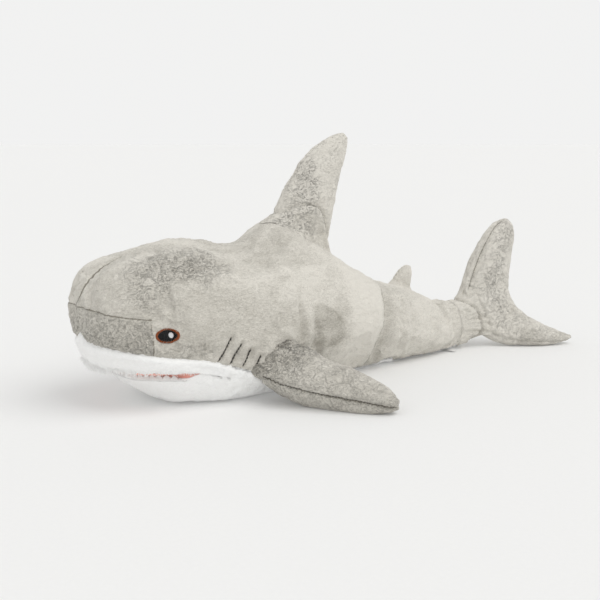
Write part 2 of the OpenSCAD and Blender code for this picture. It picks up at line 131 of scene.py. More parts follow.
def ring_mean(a, taps):
    """Each row of a closed ring averaged with its neighbours, the near ones counting most."""
    weights = np.hanning(taps + 2)[1:-1]
    weights = weights / weights.sum()
    half = taps // 2
    return sum(w * np.roll(a, k, axis=0) for k, w in zip(range(-half, half + 1), weights))


def grid_normals(p, wrap=False):
    du = np.gradient(p, axis=0)
    if wrap:
        dv = np.roll(p, -1, axis=1) - np.roll(p, 1, axis=1)
    else:
        dv = np.gradient(p, axis=1)
    return unit(np.cross(du, dv))


# ---- The frame's body skin ----
def tree_of(names):
    verts, faces, owner = [], [], []
    for name in names:
        mesh = frame["nodes"][name].data
        base = len(verts)
        verts += [v.co.copy() for v in mesh.vertices]
        for p in mesh.polygons:
            faces.append([base + i for i in p.vertices])
            owner.append(name)
    return BVHTree.FromPolygons(verts, faces), owner


SIDES = ("left", "right")
GRAY_NODES = [f"{n}_{s}" for n in ("back_panel", "snout_panel", "rear_panel") for s in SIDES]
WHITE_NODES = ["upper_lip_panel", "belly_panel", "rear_belly_panel", "jaw_panel"]
cover_tree, cover_owner = tree_of(GRAY_NODES + WHITE_NODES)

snout_low, snout_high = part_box("snout_panel_left")
NOSE = np.array([0, snout_low.y, snout_high.z])
SNOUT_END = snout_high.y
STOCK_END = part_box("rear_panel_left")[1].y
CORNER = next(np.array(j["pos_m"]) for j in frame["joints"] if j["name"] == "mouth_open")
CAP_Y = NOSE[1] + 0.116
MIDDLE = (0.112, 0.052)  # height of the centre line at the cap and at the end of the stock


def middle_z(y):
    return MIDDLE[0] + (MIDDLE[1] - MIDDLE[0]) * (y - CAP_Y) / (STOCK_END - CAP_Y)


CAP_ROWS, ROW = 60, 0.003
HALF_COLUMNS = 180
AROUND = 2 * HALF_COLUMNS
tilts = np.radians(np.concatenate([89.6 * (1 - np.arange(CAP_ROWS) / CAP_ROWS),
                                   np.zeros(int((STOCK_END - CAP_Y) / ROW) + 2)]))
row_y = np.where(tilts > 0, CAP_Y, 0.0)
row_y[CAP_ROWS:] = np.linspace(CAP_Y, STOCK_END, len(tilts) - CAP_ROWS)
theta = np.linspace(0, math.pi, HALF_COLUMNS + 1)
start = np.stack([0 * row_y, row_y, middle_z(row_y)], 1)
pole = unit(NOSE - start[0])
radial = np.stack([np.sin(theta), 0 * theta, np.cos(theta)], 1)
rays = unit(np.cos(tilts)[:, None, None] * radial[None] + np.sin(tilts)[:, None, None] * pole)
REACH = 0.4


def cast(origin, direction, tree=None):
    """How far from origin the outside of the skin is in that direction, and the face hit."""
    o = Vector(origin + direction * REACH)
    place, _, face, gap = (tree or cover_tree).ray_cast(o, Vector(-direction), REACH)
    return (0.0, None) if place is None else (REACH - gap, face)


spread = math.radians(1.2)
raw = np.zeros(rays.shape[:2])
for i in range(len(tilts)):
    for j in range(HALF_COLUMNS + 1):
        for turn in (-spread, 0, spread):
            t = theta[j] + turn
            d = unit(math.cos(tilts[i]) * np.array([math.sin(t), 0, math.cos(t)]) + math.sin(tilts[i]) * pole)
            raw[i, j] = max(raw[i, j], cast(start[i], d)[0])


def closed_gaps(r, reach):
    """Fills narrow gaps along the rows."""
    wide = np.pad(r, ((reach, reach), (0, 0)), mode="edge")
    high = np.max([wide[k:k + len(r)] for k in range(2 * reach + 1)], axis=0)
    wide = np.pad(high, ((reach, reach), (0, 0)), mode="edge")
    return np.min([wide[k:k + len(r)] for k in range(2 * reach + 1)], axis=0)


# At the nose tip four covers meet with gaps between them, so the rows round it take the next row's distances
tip_rows = int(np.argmax(tilts < math.radians(80)))
share_in = np.linspace(0, 1, tip_rows)[:, None]
raw[:tip_rows] = raw[tip_rows].max() * (1 - share_in) + raw[tip_rows][None] * share_in

# The last row of the frame's skin at each angle, which is the curved end of the stock
solid = raw > 0.004
last = np.array([np.max(np.where(solid[:, j])[0]) for j in range(HALF_COLUMNS + 1)])
for j in range(HALF_COLUMNS + 1):
    raw[last[j]:, j] = raw[max(last[j] - 2, 0), j]
end_y = blurred(row_y[last][None], 4.0, 1)[0]
closing = smooth(row_y, -0.32, -0.28)[:, None] * (tilts == 0)[:, None]
radius = raw + (closed_gaps(raw, 8) - raw) * closing
radius = blurred(blurred(radius, 3.0, 0), 3.0, 1)

# Columns run from the belly over the left flank, the back and the right flank to the belly again
full_theta = np.concatenate([theta[::-1], -theta[1:-1]])
column = np.concatenate([np.arange(HALF_COLUMNS, -1, -1), np.arange(1, HALF_COLUMNS)])
mirror = np.where(np.arange(AROUND) <= HALF_COLUMNS, 1.0, -1.0)
skin = start[:, None] + rays[:, column] * radius[:, column, None]
skin[..., 0] *= mirror
# Pull the last rows back to the curved end
SQUEEZE_Y = 0.31
ends = end_y[column][None]
y = skin[..., 1]
squeezed = SQUEEZE_Y + (y - SQUEEZE_Y) * (ends - SQUEEZE_Y) / (STOCK_END - SQUEEZE_Y)
skin[..., 1] = np.where(y > SQUEEZE_Y, squeezed, y)


# ---- Heights of the seams, read from the frame ----
def owner_at(y0, direction, z):
    for dz in (0, 0.0008, -0.0008, 0.0016):
        face = cast(np.array([0, y0, z + dz]), direction)[1]
        if face is not None:
            return cover_owner[face]
    return None


FRONT_Y = -0.35  # ahead of this the columns fan out, behind it they look straight to the side
FAN, STEP_Y = 44, 0.0034
strip_y = np.concatenate([np.full(FAN, FRONT_Y), np.arange(FRONT_Y, STOCK_END - 0.012, STEP_Y)])
strip_turn = np.concatenate([np.linspace(0, math.pi / 2, FAN, endpoint=False),
                             np.full(len(strip_y) - FAN, math.pi / 2)])
strip_dir = np.stack([np.sin(strip_turn), -np.cos(strip_turn), 0 * strip_turn], 1)


def seam_height(k, below, above, low, high):
    """Height at which the frame's cover changes from one set of nodes to the other."""
    hits = [(z, owner_at(strip_y[k], strip_dir[k], z)) for z in np.arange(low, high, 0.0012)]
    under = [z for z, o in hits if o and o.startswith(below)]
    over = [z for z, o in hits if o and o.startswith(above)]
    if not over:
        return np.nan
    if not under:
        return low
    if max(over) <= max(under):
        return np.nan
    return (max(under) + min(z for z in over if z > max(under))) / 2


def filled(a):
    good = ~np.isnan(a)
    return np.interp(np.arange(len(a)), np.where(good)[0], a[good])


WHITE_OWNERS, GRAY_OWNERS = ("upper_lip", "belly", "rear_belly", "jaw"), ("back", "snout", "rear_panel")
white_z = np.array([seam_height(k, WHITE_OWNERS, GRAY_OWNERS, 0.0015, 0.15) for k in range(len(strip_y))])
# The gap at the mouth's corner has no seam to read
white_z[(strip_y > CORNER[1] - 0.014) & (strip_y < CORNER[1] + 0.012)] = np.nan
white_z = blurred(filled(white_z)[None], 2.5, 1)[0]
# Behind the middle the white stays under the belly, out of sight
white_limit = 0.014 + 0.4 * np.maximum(0.10 - strip_y, 0)
white_z = np.where(strip_y > 0.05, np.minimum(white_z, white_limit), white_z)
dart_z = np.full(len(strip_y), np.nan)
for k in np.where(strip_y < SNOUT_END - 0.002)[0]:
    dart_z[k] = seam_height(k, ("snout",), ("back",), 0.12, 0.18)
dart_count = int(np.max(np.where(~np.isnan(dart_z))[0])) + 1
dart_z = blurred(filled(dart_z)[None], 2.5, 1)[0]


def strip_place(p):
    """Which strip column each point belongs to, as a fraction."""
    turn = np.arctan2(np.abs(p[..., 0]), -(p[..., 1] - FRONT_Y))
    ahead = turn / (math.pi / 2) * FAN
    behind = FAN + (p[..., 1] - FRONT_Y) / STEP_Y
    return np.clip(np.where(p[..., 1] < FRONT_Y, ahead, behind), 0, len(strip_y) - 1)


def on_strip(values, p):
    return np.interp(strip_place(p), np.arange(len(values)), values)


def grid_quads(n, m, wrap=True):
    """Corner numbers of a grid's faces; wrap joins the last column to the first."""
    idx = np.arange(n * m).reshape(n, m)
    if wrap:
        nxt = np.roll(idx, -1, axis=1)
        return np.stack([idx[:-1], idx[1:], nxt[1:], nxt[:-1]], -1).reshape(-1, 4)
    return np.stack([idx[:-1, :-1], idx[1:, :-1], idx[1:, 1:], idx[:-1, 1:]], -1).reshape(-1, 4)


def grid_tree(points):
    """Search tree of a ring grid's surface."""
    quads = grid_quads(*points.shape[:2]).tolist()
    return BVHTree.FromPolygons([Vector(v) for v in points.reshape(-1, 3)], quads)


# ---- Stuffing: cloth simulation of the closed covers ----
def stuffed(grid, pinned, pressure, cap, grow, frames=14):
    """The closed ring grid after the cloth is blown up by its stuffing; pinned is from 0 to 1."""
    n, m = grid.shape[:2]
    lids = [list(range(m)), list(range(n * m - 1, (n - 1) * m - 1, -1))]
    mesh = bpy.data.meshes.new("stuffing")
    mesh.from_pydata(grid.reshape(-1, 3).tolist(), [], grid_quads(n, m).tolist() + lids)
    obj = bpy.data.objects.new("stuffing", mesh)
    bpy.context.scene.collection.objects.link(obj)
    group = obj.vertex_groups.new(name="pins")
    for i, w in enumerate(pinned.reshape(-1)):
        if w > 0.01:
            group.add([i], float(w), "REPLACE")
    mod = obj.modifiers.new("cloth", "CLOTH")
    s = mod.settings
    s.quality = 5
    s.mass = 0.25
    s.tension_stiffness = s.compression_stiffness = 12
    s.shear_stiffness = 6
    s.bending_stiffness = 0.08
    s.vertex_group_mass = "pins"
    s.pin_stiffness = 1
    s.use_pressure = True
    s.uniform_pressure_force = pressure
    s.shrink_min = -grow
    s.effector_weights.gravity = 0
    mod.collision_settings.use_collision = False
    scene = bpy.context.scene
    mod.point_cache.frame_start, mod.point_cache.frame_end = 1, frames
    for f in range(1, frames + 1):
        scene.frame_set(f)
    done = obj.evaluated_get(bpy.context.evaluated_depsgraph_get()).to_mesh()
    out = np.zeros(len(done.vertices) * 3)
    done.vertices.foreach_get("co", out)
    move = out.reshape(n, m, 3) - grid
    scene.frame_set(1)
    bpy.data.objects.remove(obj)
    size = np.linalg.norm(move, axis=-1, keepdims=True)
    move *= np.minimum(1, cap / np.maximum(size, 1e-9))
    return grid + move


def resampled(field, n, m):
    """A ring field at another number of rows and columns."""
    rows = np.linspace(0, field.shape[0] - 1, n)
    low = np.minimum(rows.astype(int), field.shape[0] - 2)
    f = (rows - low)[:, None, None]
    a = field[low] * (1 - f) + field[low + 1] * f
    cols = np.arange(m) * field.shape[1] / m
    low = cols.astype(int)
    f = (cols - low)[None, :, None]
    return a[:, low] * (1 - f) + a[:, (low + 1) % field.shape[1]] * f


# ---- Places of the creases and seams on the left flank ----
gills = []
for k in range(4):
    gills.append((np.array([0.121, -0.219 + 0.016 * k, 0.111 - 0.011 * k]),
                  np.array([0.121, -0.239 + 0.020 * k, 0.076 - 0.0065 * k])))
PEAK = np.array([0.125, -0.122, 0.106])  # the top of the pectoral fin's root
BROW = np.array([0.046, -0.388, 0.202])
# The fold where the front body bulges over the rear one, from the back down to the floor
FOLD = np.array([[0.0, 0.130, 0.180], [0.030, 0.122, 0.165], [0.072, 0.112, 0.130],
                 [0.090, 0.098, 0.075], [0.076, 0.088, 0.030], [0.04, 0.085, 0.0]])
SECOND_CREASE = [[0.088, 0.120, 0.098], [0.086, 0.112, 0.060], [0.072, 0.100, 0.025]]


def flank(points):
    """The points folded onto the left side, so that one set of places serves both sides."""
    return np.abs(points) * np.array([1, 0, 0]) + points * np.array([0, 1, 1])


def behind_fold(p):
    """How far each point lies behind the fold, along the body."""
    return p[..., 1] - np.interp(p[..., 2], FOLD[::-1, 2], FOLD[::-1, 1])


def surface_at(tree, y0, direction, z):
    """Where the skin is at that height and in that direction from the middle."""
    r = cast(np.array([0, y0, z]), direction, tree)[0]
    return np.array([0, y0, z]) + direction * r


def gill_distances(q):
    """Distance of flank points from each gill line, seen from the side."""
    for a, b in gills:
        d, _ = line_distance(q * [0, 1, 1], np.array([a, b]) * [0, 1, 1])
        yield np.where(q[..., 0] > 0.09, d, 1.0)


def creases(p, n):
    """How far the fabric stands out at each point, from the seams, folds and tucks."""
    q = flank(p)
    x, y, z = np.moveaxis(p, -1, 0)
    out = np.zeros(x.shape)
    side = np.where(x >= 0, 1.0, 0.7)
    # Centre seam over the head and along the back
    top = np.clip(smooth(n[..., 2], 0.1, 0.5) + smooth(-n[..., 1], 0.6, 0.9), 0, 1) * smooth(z, 0.150, 0.175)
    out -= 1.9 * MM * bump(x, 2.6 * MM) * top * (1 - 0.65 * smooth(y, -0.34, -0.24))
    out += 0.8 * MM * bump(np.abs(x) - 8 * MM, 5 * MM) * top * (1 - smooth(y, -0.30, -0.20))
    # The stuffing pushes both sides of the snout's top out beside the seam
    out += np.where(x > 0, 4 * MM, 12 * MM) * bump(np.linalg.norm(q - BROW, axis=-1), 0.043)
    # Dart and the short seam below its end
    d, along = line_distance(q, dart_line)
    pucker = 1 + 0.35 * np.sin(along * 2 * math.pi / 0.011)
    out += 0.9 * MM * bump(d - 6 * MM, 3.5 * MM) - 2.3 * MM * bump(d, 2.0 * MM) * pucker
    d, _ = line_distance(q, short_seam)
    out += 0.8 * MM * bump(d - 6 * MM, 4 * MM) - 1.7 * MM * bump(d, 2.4 * MM)
    d, _ = line_distance(q, [[0.082, -0.381, 0.155], [0.083, -0.382, 0.140]])
    out -= 1.0 * MM * bump(d, 2.2 * MM)
    out *= smooth(np.linalg.norm(p - NOSE, axis=-1), 6 * MM, 22 * MM) * 0.85 + 0.15
    # White seam
    d, along = line_distance(q, white_line)
    below = smooth(on_strip(white_z, p) - z, 0, 4 * MM)
    out -= 2.4 * MM * bump(d, 3.2 * MM) * (1 + 0.25 * np.sin(along * 2 * math.pi / 0.017))
    out += (1.0 + 1.0 * below) * MM * bump(d - 9 * MM, 6 * MM)
    # Gills: a thread in a tuck, puffed on both sides
    for d in gill_distances(q):
        out += 2.0 * MM * bump(d - 7.5 * MM, 3.4 * MM) - 3.2 * MM * bump(d, 3.0 * MM)
    # Fold behind the middle: the front bulges over the rear
    behind = behind_fold(p)
    step = smooth(behind, -2 * MM, 3 * MM) * (1 - smooth(behind, 4 * MM, 56 * MM))
    fold = 3.0 * MM * bump(behind + 16 * MM, 14 * MM) - 7.5 * MM * step
    out += side * (1 - 0.65 * smooth(z, 0.115, 0.165)) * smooth(z, 0.004, 0.035) * fold
    d, _ = line_distance(q, SECOND_CREASE)
    out += side * (1.4 * MM * bump(d - 9 * MM, 6 * MM) - 1.6 * MM * bump(d, 4 * MM)) * smooth(z, 0.01, 0.04)
    # Wrinkles round the stock
    around = y + 0.25 * (z - 0.06) + 4 * MM * noise(p, 0.03, 5)
    wave = np.sin(around * 2 * math.pi / 0.017) * smooth(y, 0.275, 0.30) * (1 - smooth(y, 0.345, 0.37))
    out += 2.0 * MM * wave * (0.5 + 0.5 * noise(p, 0.04, 6))
    # The flank is pulled up to the pectoral fin's root
    gap = np.linalg.norm(q - PEAK, axis=-1)
    tent, _ = line_distance(q, [PEAK, [0.124, -0.119, 0.078]])
    out += 6.0 * MM * bump(tent, 15 * MM) + 3.0 * MM * bump(gap, 42 * MM)
    for a, b, height, width in RIDGES:
        d, along = line_distance(q, [a, b])
        fade = 1 - along / max(np.linalg.norm(np.array(b) - a), 1e-9)
        out += height * bump(d, width) * (0.25 + 0.75 * fade)
    # Loose stuffing: soft lumps
    return out + 1.8 * MM * noise(p, 0.075, 1) + 0.9 * MM * noise(p, 0.034, 2)


# Ridges and hollows near the pectoral fin's root: start, end, height and width
RIDGES = [
    ([0.125, -0.122, 0.106], [0.118, -0.165, 0.150], 3.4 * MM, 7 * MM),
    ([0.125, -0.122, 0.106], [0.126, -0.175, 0.095], 1.8 * MM, 7 * MM),
    ([0.125, -0.122, 0.106], [0.121, -0.078, 0.072], 5.0 * MM, 8 * MM),
    ([0.121, -0.064, 0.070], [0.112, -0.080, 0.130], -3.2 * MM, 9 * MM),
    ([0.120, -0.048, 0.066], [0.108, -0.030, 0.125], 2.4 * MM, 9 * MM),
    ([0.121, -0.070, 0.074], [0.121, -0.070, 0.070], -3.5 * MM, 13 * MM),
    ([0.122, -0.190, 0.070], [0.120, -0.215, 0.140], -1.5 * MM, 9 * MM),
]
base_tree = grid_tree(skin)
white_line = np.array([surface_at(base_tree, strip_y[k], strip_dir[k], white_z[k])
                       for k in range(0, len(strip_y), 3)])
dart_line = np.array([surface_at(base_tree, strip_y[k], strip_dir[k], dart_z[k])
                      for k in range(0, dart_count, 3)])
end = dart_line[-1]
short_seam = [end, end + [0.0, -0.002, -0.018], [end[0], end[1] - 0.005, on_strip(white_z, end)]]

# One fabric runs over the fold: even the skin out there, the fold itself is put in by creases()
even = smooth(skin[..., 1], 0.068, 0.090) * (1 - smooth(skin[..., 1], 0.150, 0.185))
even = even * smooth(skin[..., 2], 0.004, 0.030)
skin = skin + (blurred(skin, 7.0, 0) - skin) * even[..., None]

# Simulate on a coarser grid, then carry the movement to the fine one
pins = bump(line_distance(flank(skin), white_line)[0], 6 * MM)
pins[-4:] = 1
pins[:2] = 1
pins = np.maximum(pins, bump(skin[..., 0], 6 * MM) * (skin[..., 2] > 0.1) * (skin[..., 1] < -0.2))
pins = np.maximum(pins, skin[..., 2] < 0.006)
pins = np.maximum(pins, bump(np.linalg.norm(flank(skin) - PEAK, axis=-1), 0.02))
coarse = skin[::2, ::2]
shift = stuffed(coarse, pins[::2, ::2], 2.0, 6 * MM, grow=0.03) - coarse
skin = skin + resampled(shift, *skin.shape[:2])
normals = grid_normals(skin, True)
skin = skin + normals * creases(skin, normals)[..., None]


# ---- Meshes ----
def piece(name, points, keep=None, wrap=False, attributes=None):
    """A mesh object from a grid of points; keep says which faces stay."""
    n, m = points.shape[:2]
    quads = grid_quads(n, m, wrap)
    if keep is not None:
        quads = quads[keep.reshape(-1)]
    return mesh_object(name, points.reshape(-1, 3), quads, attributes)


def mesh_object(name, verts, faces, attributes=None):
    used = np.unique(np.asarray(faces).ravel())
    lookup = np.full(len(verts), -1)
    lookup[used] = np.arange(len(used))
    mesh = bpy.data.meshes.new(name)
    mesh.from_pydata(verts[used].tolist(), [], lookup[np.asarray(faces)].tolist())
    values = {k: np.asarray(v).reshape(-1)[used] for k, v in (attributes or {}).items()}
    for key, value in values.items():
        mesh.attributes.new(key, "FLOAT", "POINT").data.foreach_set("value", value.astype(np.float32))
    rest = mesh.attributes.new("rest", "FLOAT_VECTOR", "POINT")
    rest.data.foreach_set("vector", verts[used].astype(np.float32).ravel())
    bm = bmesh.new()
    bm.from_mesh(mesh)
    bmesh.ops.remove_doubles(bm, verts=bm.verts, dist=0.00003)
    bm.to_mesh(mesh)
    bm.free()
    mesh.shade_smooth()
    obj = bpy.data.objects.new(name, mesh)
    bpy.context.scene.collection.objects.link(obj)
    return obj


ABOVE_FLOOR = 0.0004
NO_SEAM = 0.02  # a distance at which the shader draws no seam


def piled(points, normals, strength=1.0, tousle=0.0):
    """The points with the pile's tufts raised, kept above the floor."""
    p = points
    lift = 0.45 * noise(p, 0.011, 11) + 0.42 * noise(p, 0.0055, 12) + 0.25 * noise(p, 0.0032, 13)
    lift = lift + tousle * (0.9 * noise(p, 0.0085, 14) + 0.6 * noise(p, 0.005, 15))
    out = p + normals * (lift * strength * MM)[..., None]
    out[..., 2] = np.maximum(out[..., 2], ABOVE_FLOOR)
    return out


def near_spot(q, spot, scale, wobble, low, high):
    """1 at the spot and 0 beyond high, in a stretched and ragged ball."""
    return 1 - smooth(np.linalg.norm((q - spot) / scale, axis=-1) + wobble, low, high)


def masks(p):
    """Where the pile lies darker or is painted darker as shade, where it is tousled, and how far below the
    white seam each point is.
    """
    q = flank(p)
    x, y, z = np.moveaxis(p, -1, 0)
    qx, qy, qz = np.moveaxis(q, -1, 0)
    white = on_strip(white_z, p) - z
    over_dart = on_strip(dart_z, p) - z
    # A patch brushed the other way on the flank
    across, up = (qy + 0.034) / 0.040, (qz - 0.108 + 0.25 * (qy + 0.034)) / 0.036
    d = (np.abs(across) ** 3 + np.abs(up) ** 3) ** (1 / 3) + 0.22 * noise(p, 0.034, 21)
    nap = (1 - smooth(d, 0.84, 1.0)) * (qx > 0.05) * (0.75 + 0.25 * noise(p, 0.02, 26))
    # Brushed against the pile behind the head and on the snout
    back = near_spot(q, [0.072, -0.285, 0.222], [1.0, 1.5, 0.7], 0.016 * noise(p, 0.022, 22), 0.012, 0.066)
    brow = near_spot(q, [0.080, -0.345, 0.185], [1.0, 1.0, 0.7], 0.012 * noise(p, 0.02, 23), 0.01, 0.05)
    cheek = near_spot(q, [0.112, -0.285, 0.096], [1.0, 2.2, 0.5], 0.010 * noise(p, 0.015, 24), 0.01, 0.03)
    snout = (y < SNOUT_END) * smooth(over_dart, 0, 0.004)
    low = snout * smooth(0.140 + 0.012 * noise(p, 0.025, 25) - z, 0.0, 0.035)
    gray_side = white < -0.001
    tousle = np.clip(0.06 + 0.75 * back + 0.35 * brow + 0.4 * cheek + 0.4 * snout + 0.2 * low, 0, 1)
    # Painted shade in the fold's crease and on the rear body just behind it; lighter on the rear half and on
    # the shoulder
    behind = behind_fold(p)
    shade = 1.4 * bump(behind - 4.5 * MM, 3.6 * MM) * smooth(qx, 0.035, 0.065)
    shade = shade + 0.42 * bump(behind - 20 * MM, 17 * MM)
    shade = shade - 0.42 * smooth(y + 0.02 * noise(p, 0.05, 27), -0.03, 0.06)
    shade = shade - 0.35 * smooth(qy, 0.01, 0.04) * (1 - smooth(behind, -0.02, 0.0))
    shade = shade - 0.25 * bump(np.linalg.norm(q - [0.09, -0.09, 0.19], axis=-1), 0.06)
    # Bands and clouds of nap
    ripple = 0.004 * noise(p, 0.015, 28)[..., None]
    bands = smooth(noise(p * [1, 1, 0.35] + ripple, 0.022, 29), 0.05, 0.30)
    shade = shade + 0.20 * bands * smooth(y, -0.27, -0.20) * (0.5 + 0.5 * noise(p, 0.06, 36))
    shade = shade + 0.16 * smooth(noise(p, 0.045, 37), 0.0, 0.25) * smooth(y, -0.24, -0.14)
    brushed = 0.38 * back + 0.12 * brow + 0.32 * cheek + 0.02 * snout + 0.26 * low
    dark = np.clip(brushed, 0, 1) + shade
    # Distance from the seams that the shader draws
    dart = np.where(y < SNOUT_END + 0.002, np.abs(over_dart), NO_SEAM)
    upright_here = smooth(over_dart, -0.001, 0.001) * (white < 0) > 0.5
    upright = np.where(upright_here, np.abs(y - SNOUT_END), NO_SEAM)
    top = np.abs(x) + 0.0016 * smooth(y, -0.36, -0.22)
    top = np.where((y < -0.20) & (white < -0.002), top, NO_SEAM)
    seam = np.minimum(np.minimum(dart, upright), np.minimum(top, np.abs(white) + 0.0006))
    # Painted shade in the gill tucks, drawn as dark lines like the seams
    for d in gill_distances(q):
        seam = np.minimum(seam, np.where(qx > 0.09, d * 0.7, NO_SEAM))
    return {"white": white, "nap": nap, "tousle": tousle * gray_side, "dark": dark * gray_side, "seam": seam}


# ---- Materials ----
def node_setup(name):
    material = bpy.data.materials.new(name)
    material.use_nodes = True
    nodes = material.node_tree.nodes
    nodes.clear()
    out = nodes.new("ShaderNodeOutputMaterial")
    shader = nodes.new("ShaderNodeBsdfPrincipled")
    material.node_tree.links.new(shader.outputs[0], out.inputs[0])
    return material, nodes, material.node_tree.links, shader


class Graph:
    """Short forms for building node trees."""

    def __init__(self, name):
        self.material, self.nodes, self.links, self.shader = node_setup(name)

    def plug(self, socket, value):
        if isinstance(value, bpy.types.NodeSocket):
            self.links.new(value, socket)
        else:
            socket.default_value = value

    def attribute(self, name, vector=False):
        n = self.nodes.new("ShaderNodeAttribute")
        n.attribute_name = name
        return n.outputs["Vector" if vector else "Fac"]

    def math(self, operation, a, b=0.0, c=0.0, clamp=False):
        n = self.nodes.new("ShaderNodeMath")
        n.operation, n.use_clamp = operation, clamp
        for socket, v in zip(n.inputs, (a, b, c)):
            self.plug(socket, v)
        return n.outputs[0]

    def ramp(self, value, low, high, to_low=0.0, to_high=1.0, kind="SMOOTHSTEP"):
        n = self.nodes.new("ShaderNodeMapRange")
        n.interpolation_type = kind
        keys = ("Value", "From Min", "From Max", "To Min", "To Max")
        for key, v in zip(keys, (value, low, high, to_low, to_high)):
            self.plug(n.inputs[key], v)
        return n.outputs[0]

    def noise(self, vector, scale, detail=2.0, rough=0.5, distort=0.0):
        n = self.nodes.new("ShaderNodeTexNoise")
        self.plug(n.inputs["Vector"], vector)
        for key, v in (("Scale", scale), ("Detail", detail), ("Roughness", rough), ("Distortion", distort)):
            n.inputs[key].default_value = v
        return n.outputs["Fac"]

    def stretched(self, vector, scale, turn=(0, 0, 0)):
        n = self.nodes.new("ShaderNodeMapping")
        self.plug(n.inputs["Vector"], vector)
        n.inputs["Scale"].default_value = scale
        n.inputs["Rotation"].default_value = turn
        return n.outputs[0]

    def mix(self, share, a, b, kind="MIX"):
        n = self.nodes.new("ShaderNodeMix")
        n.data_type, n.blend_type = "RGBA", kind
        self.plug(n.inputs[0], share)
        for socket, v in ((n.inputs[6], a), (n.inputs[7], b)):
            self.plug(socket, v if isinstance(v, bpy.types.NodeSocket) else (*v, 1))
        return n.outputs[2]

    def bump(self, height, strength, distance, normal=None):
        n = self.nodes.new("ShaderNodeBump")
        n.inputs["Strength"].default_value = strength
        n.inputs["Distance"].default_value = distance
        self.plug(n.inputs["Height"], height)
        if normal is not None:
            self.plug(n.inputs["Normal"], normal)
        return n.outputs[0]


def plush(name, light, dark, white=None, patch=0.24, sheen=0.3, grain=1.0):
    """Short-pile plush: patches of nap lying different ways, tufts, single hairs and partings, with dark seam
    lines and painted shade brought in by the dark and seam attributes.
    """
    g = Graph(name)
    rest = g.attribute("rest", True)
    wide = g.noise(g.stretched(rest, (1, 0.6, 0.8), (0.4, 0.2, 0.5)), 13, 2.0, 0.5, 0.5)
    stroke = g.noise(g.stretched(rest, (1, 0.35, 1), (0.5, 0, 0.15)), 70, 3.0, 0.6, 0.5)
    tuft = g.noise(g.stretched(rest, (1, 0.45, 1), (0.4, 0, 0.1)), 430, 3.0, 0.6, 0.3)
    hair = g.noise(g.stretched(rest, (1, 0.35, 1), (0.3, 0, 0.2)), 1000, 2.0, 0.6)
    tousle = g.attribute("tousle")
    parting_noise = g.noise(g.stretched(rest, (1, 0.7, 1)), 105, 3.0, 0.6, 1.4)
    parting = g.ramp(g.math("ABSOLUTE", g.math("SUBTRACT", parting_noise, 0.5)), 0.0, 0.032, 1.0, 0.0)
    curl = g.noise(rest, 380, 3.0, 0.65, 1.2)
    lines = g.math("MULTIPLY", parting, g.math("MULTIPLY_ADD", tousle, 0.95, 0.03))
    share = g.math("MULTIPLY_ADD", g.ramp(wide, 0.38, 0.62), patch, 0.08)
    share = g.math("ADD", share, g.ramp(stroke, 0.36, 0.64, -0.07, 0.09))
    share = g.math("ADD", share, g.ramp(tuft, 0.3, 0.7, 0.13, -0.13))
    share = g.math("ADD", share, g.ramp(hair, 0.3, 0.7, 0.14, -0.14))
    share = g.math("ADD", share, g.math("MULTIPLY", g.ramp(curl, 0.35, 0.65, -0.26, 0.30), tousle))
    share = g.math("ADD", share, g.math("MULTIPLY", g.attribute("nap"), 0.36))
    # The dark attribute: darker nap patches, plus painted shade in and behind the body's fold and in the
    # stock's crease
    share = g.math("ADD", share, g.math("MULTIPLY", g.attribute("dark"), 0.45))
    # Dark lines along the seams, plus painted shade along the gill tucks and the stock's crease
    ragged = g.math("ADD", g.attribute("seam"), g.ramp(tuft, 0.3, 0.7, -0.0003, 0.0003))
    seam_and_crease_shade = g.ramp(ragged, 0.0004, 0.0016, 1.0, 0.0)
    share = g.math("ADD", share, g.math("MULTIPLY", seam_and_crease_shade, 0.9), clamp=True)
    colour = g.mix(share, light, dark)
    colour = g.mix(g.math("MULTIPLY", lines, 0.55), colour, tuple(0.42 * v for v in dark))
    if white is not None:
        shag = g.math("MULTIPLY", g.math("SUBTRACT", g.noise(rest, 420, 3.0, 0.7), 0.5), 0.009)
        edge = g.math("ADD", g.attribute("white"), shag)
        colour = g.mix(g.ramp(edge, -0.0006, 0.0012), colour, white)
    g.plug(g.shader.inputs["Base Color"], colour)
    height = g.math("ADD", g.math("MULTIPLY", tuft, 1.0 * grain), g.math("MULTIPLY", hair, 0.42 * grain))
    height = g.math("SUBTRACT", height, g.math("MULTIPLY", lines, 1.6))
    height = g.math("ADD", height, g.math("MULTIPLY", g.math("MULTIPLY", curl, tousle), 1.4))
    g.plug(g.shader.inputs["Normal"], g.bump(height, 0.9, 0.0018))
    g.plug(g.shader.inputs["Roughness"], g.ramp(tuft, 0.2, 0.8, 0.98, 0.86))
    g.shader.inputs["Specular IOR Level"].default_value = 0.18
    g.shader.inputs["Sheen Weight"].default_value = sheen
    g.shader.inputs["Sheen Roughness"].default_value = 0.45
    g.shader.inputs["Sheen Tint"].default_value = (1.0, 0.99, 0.95, 1)
    return g.material


LIGHT_GRAY = (0.76, 0.73, 0.665)
DARK_GRAY = (0.31, 0.29, 0.245)
DEEP_GRAY = (0.25, 0.232, 0.195)
WHITE = (0.93, 0.93, 0.92)
WHITE_SHADE = (0.80, 0.80, 0.79)
gray_plush = plush("gray_plush", LIGHT_GRAY, DARK_GRAY, white=WHITE)
dark_plush = plush("dark_plush", (0.72, 0.69, 0.625), DEEP_GRAY, white=WHITE, patch=0.2)
white_plush = plush("white_plush", WHITE, WHITE_SHADE, patch=0.2, grain=0.9)
white_shader = next(n for n in white_plush.node_tree.nodes if n.type == "BSDF_PRINCIPLED")
# Painted light: a faint glow standing in for light that passes through the thin white pile
white_shader.inputs["Emission Color"].default_value = (1, 1, 0.99, 1)
white_shader.inputs["Emission Strength"].default_value = 0.07


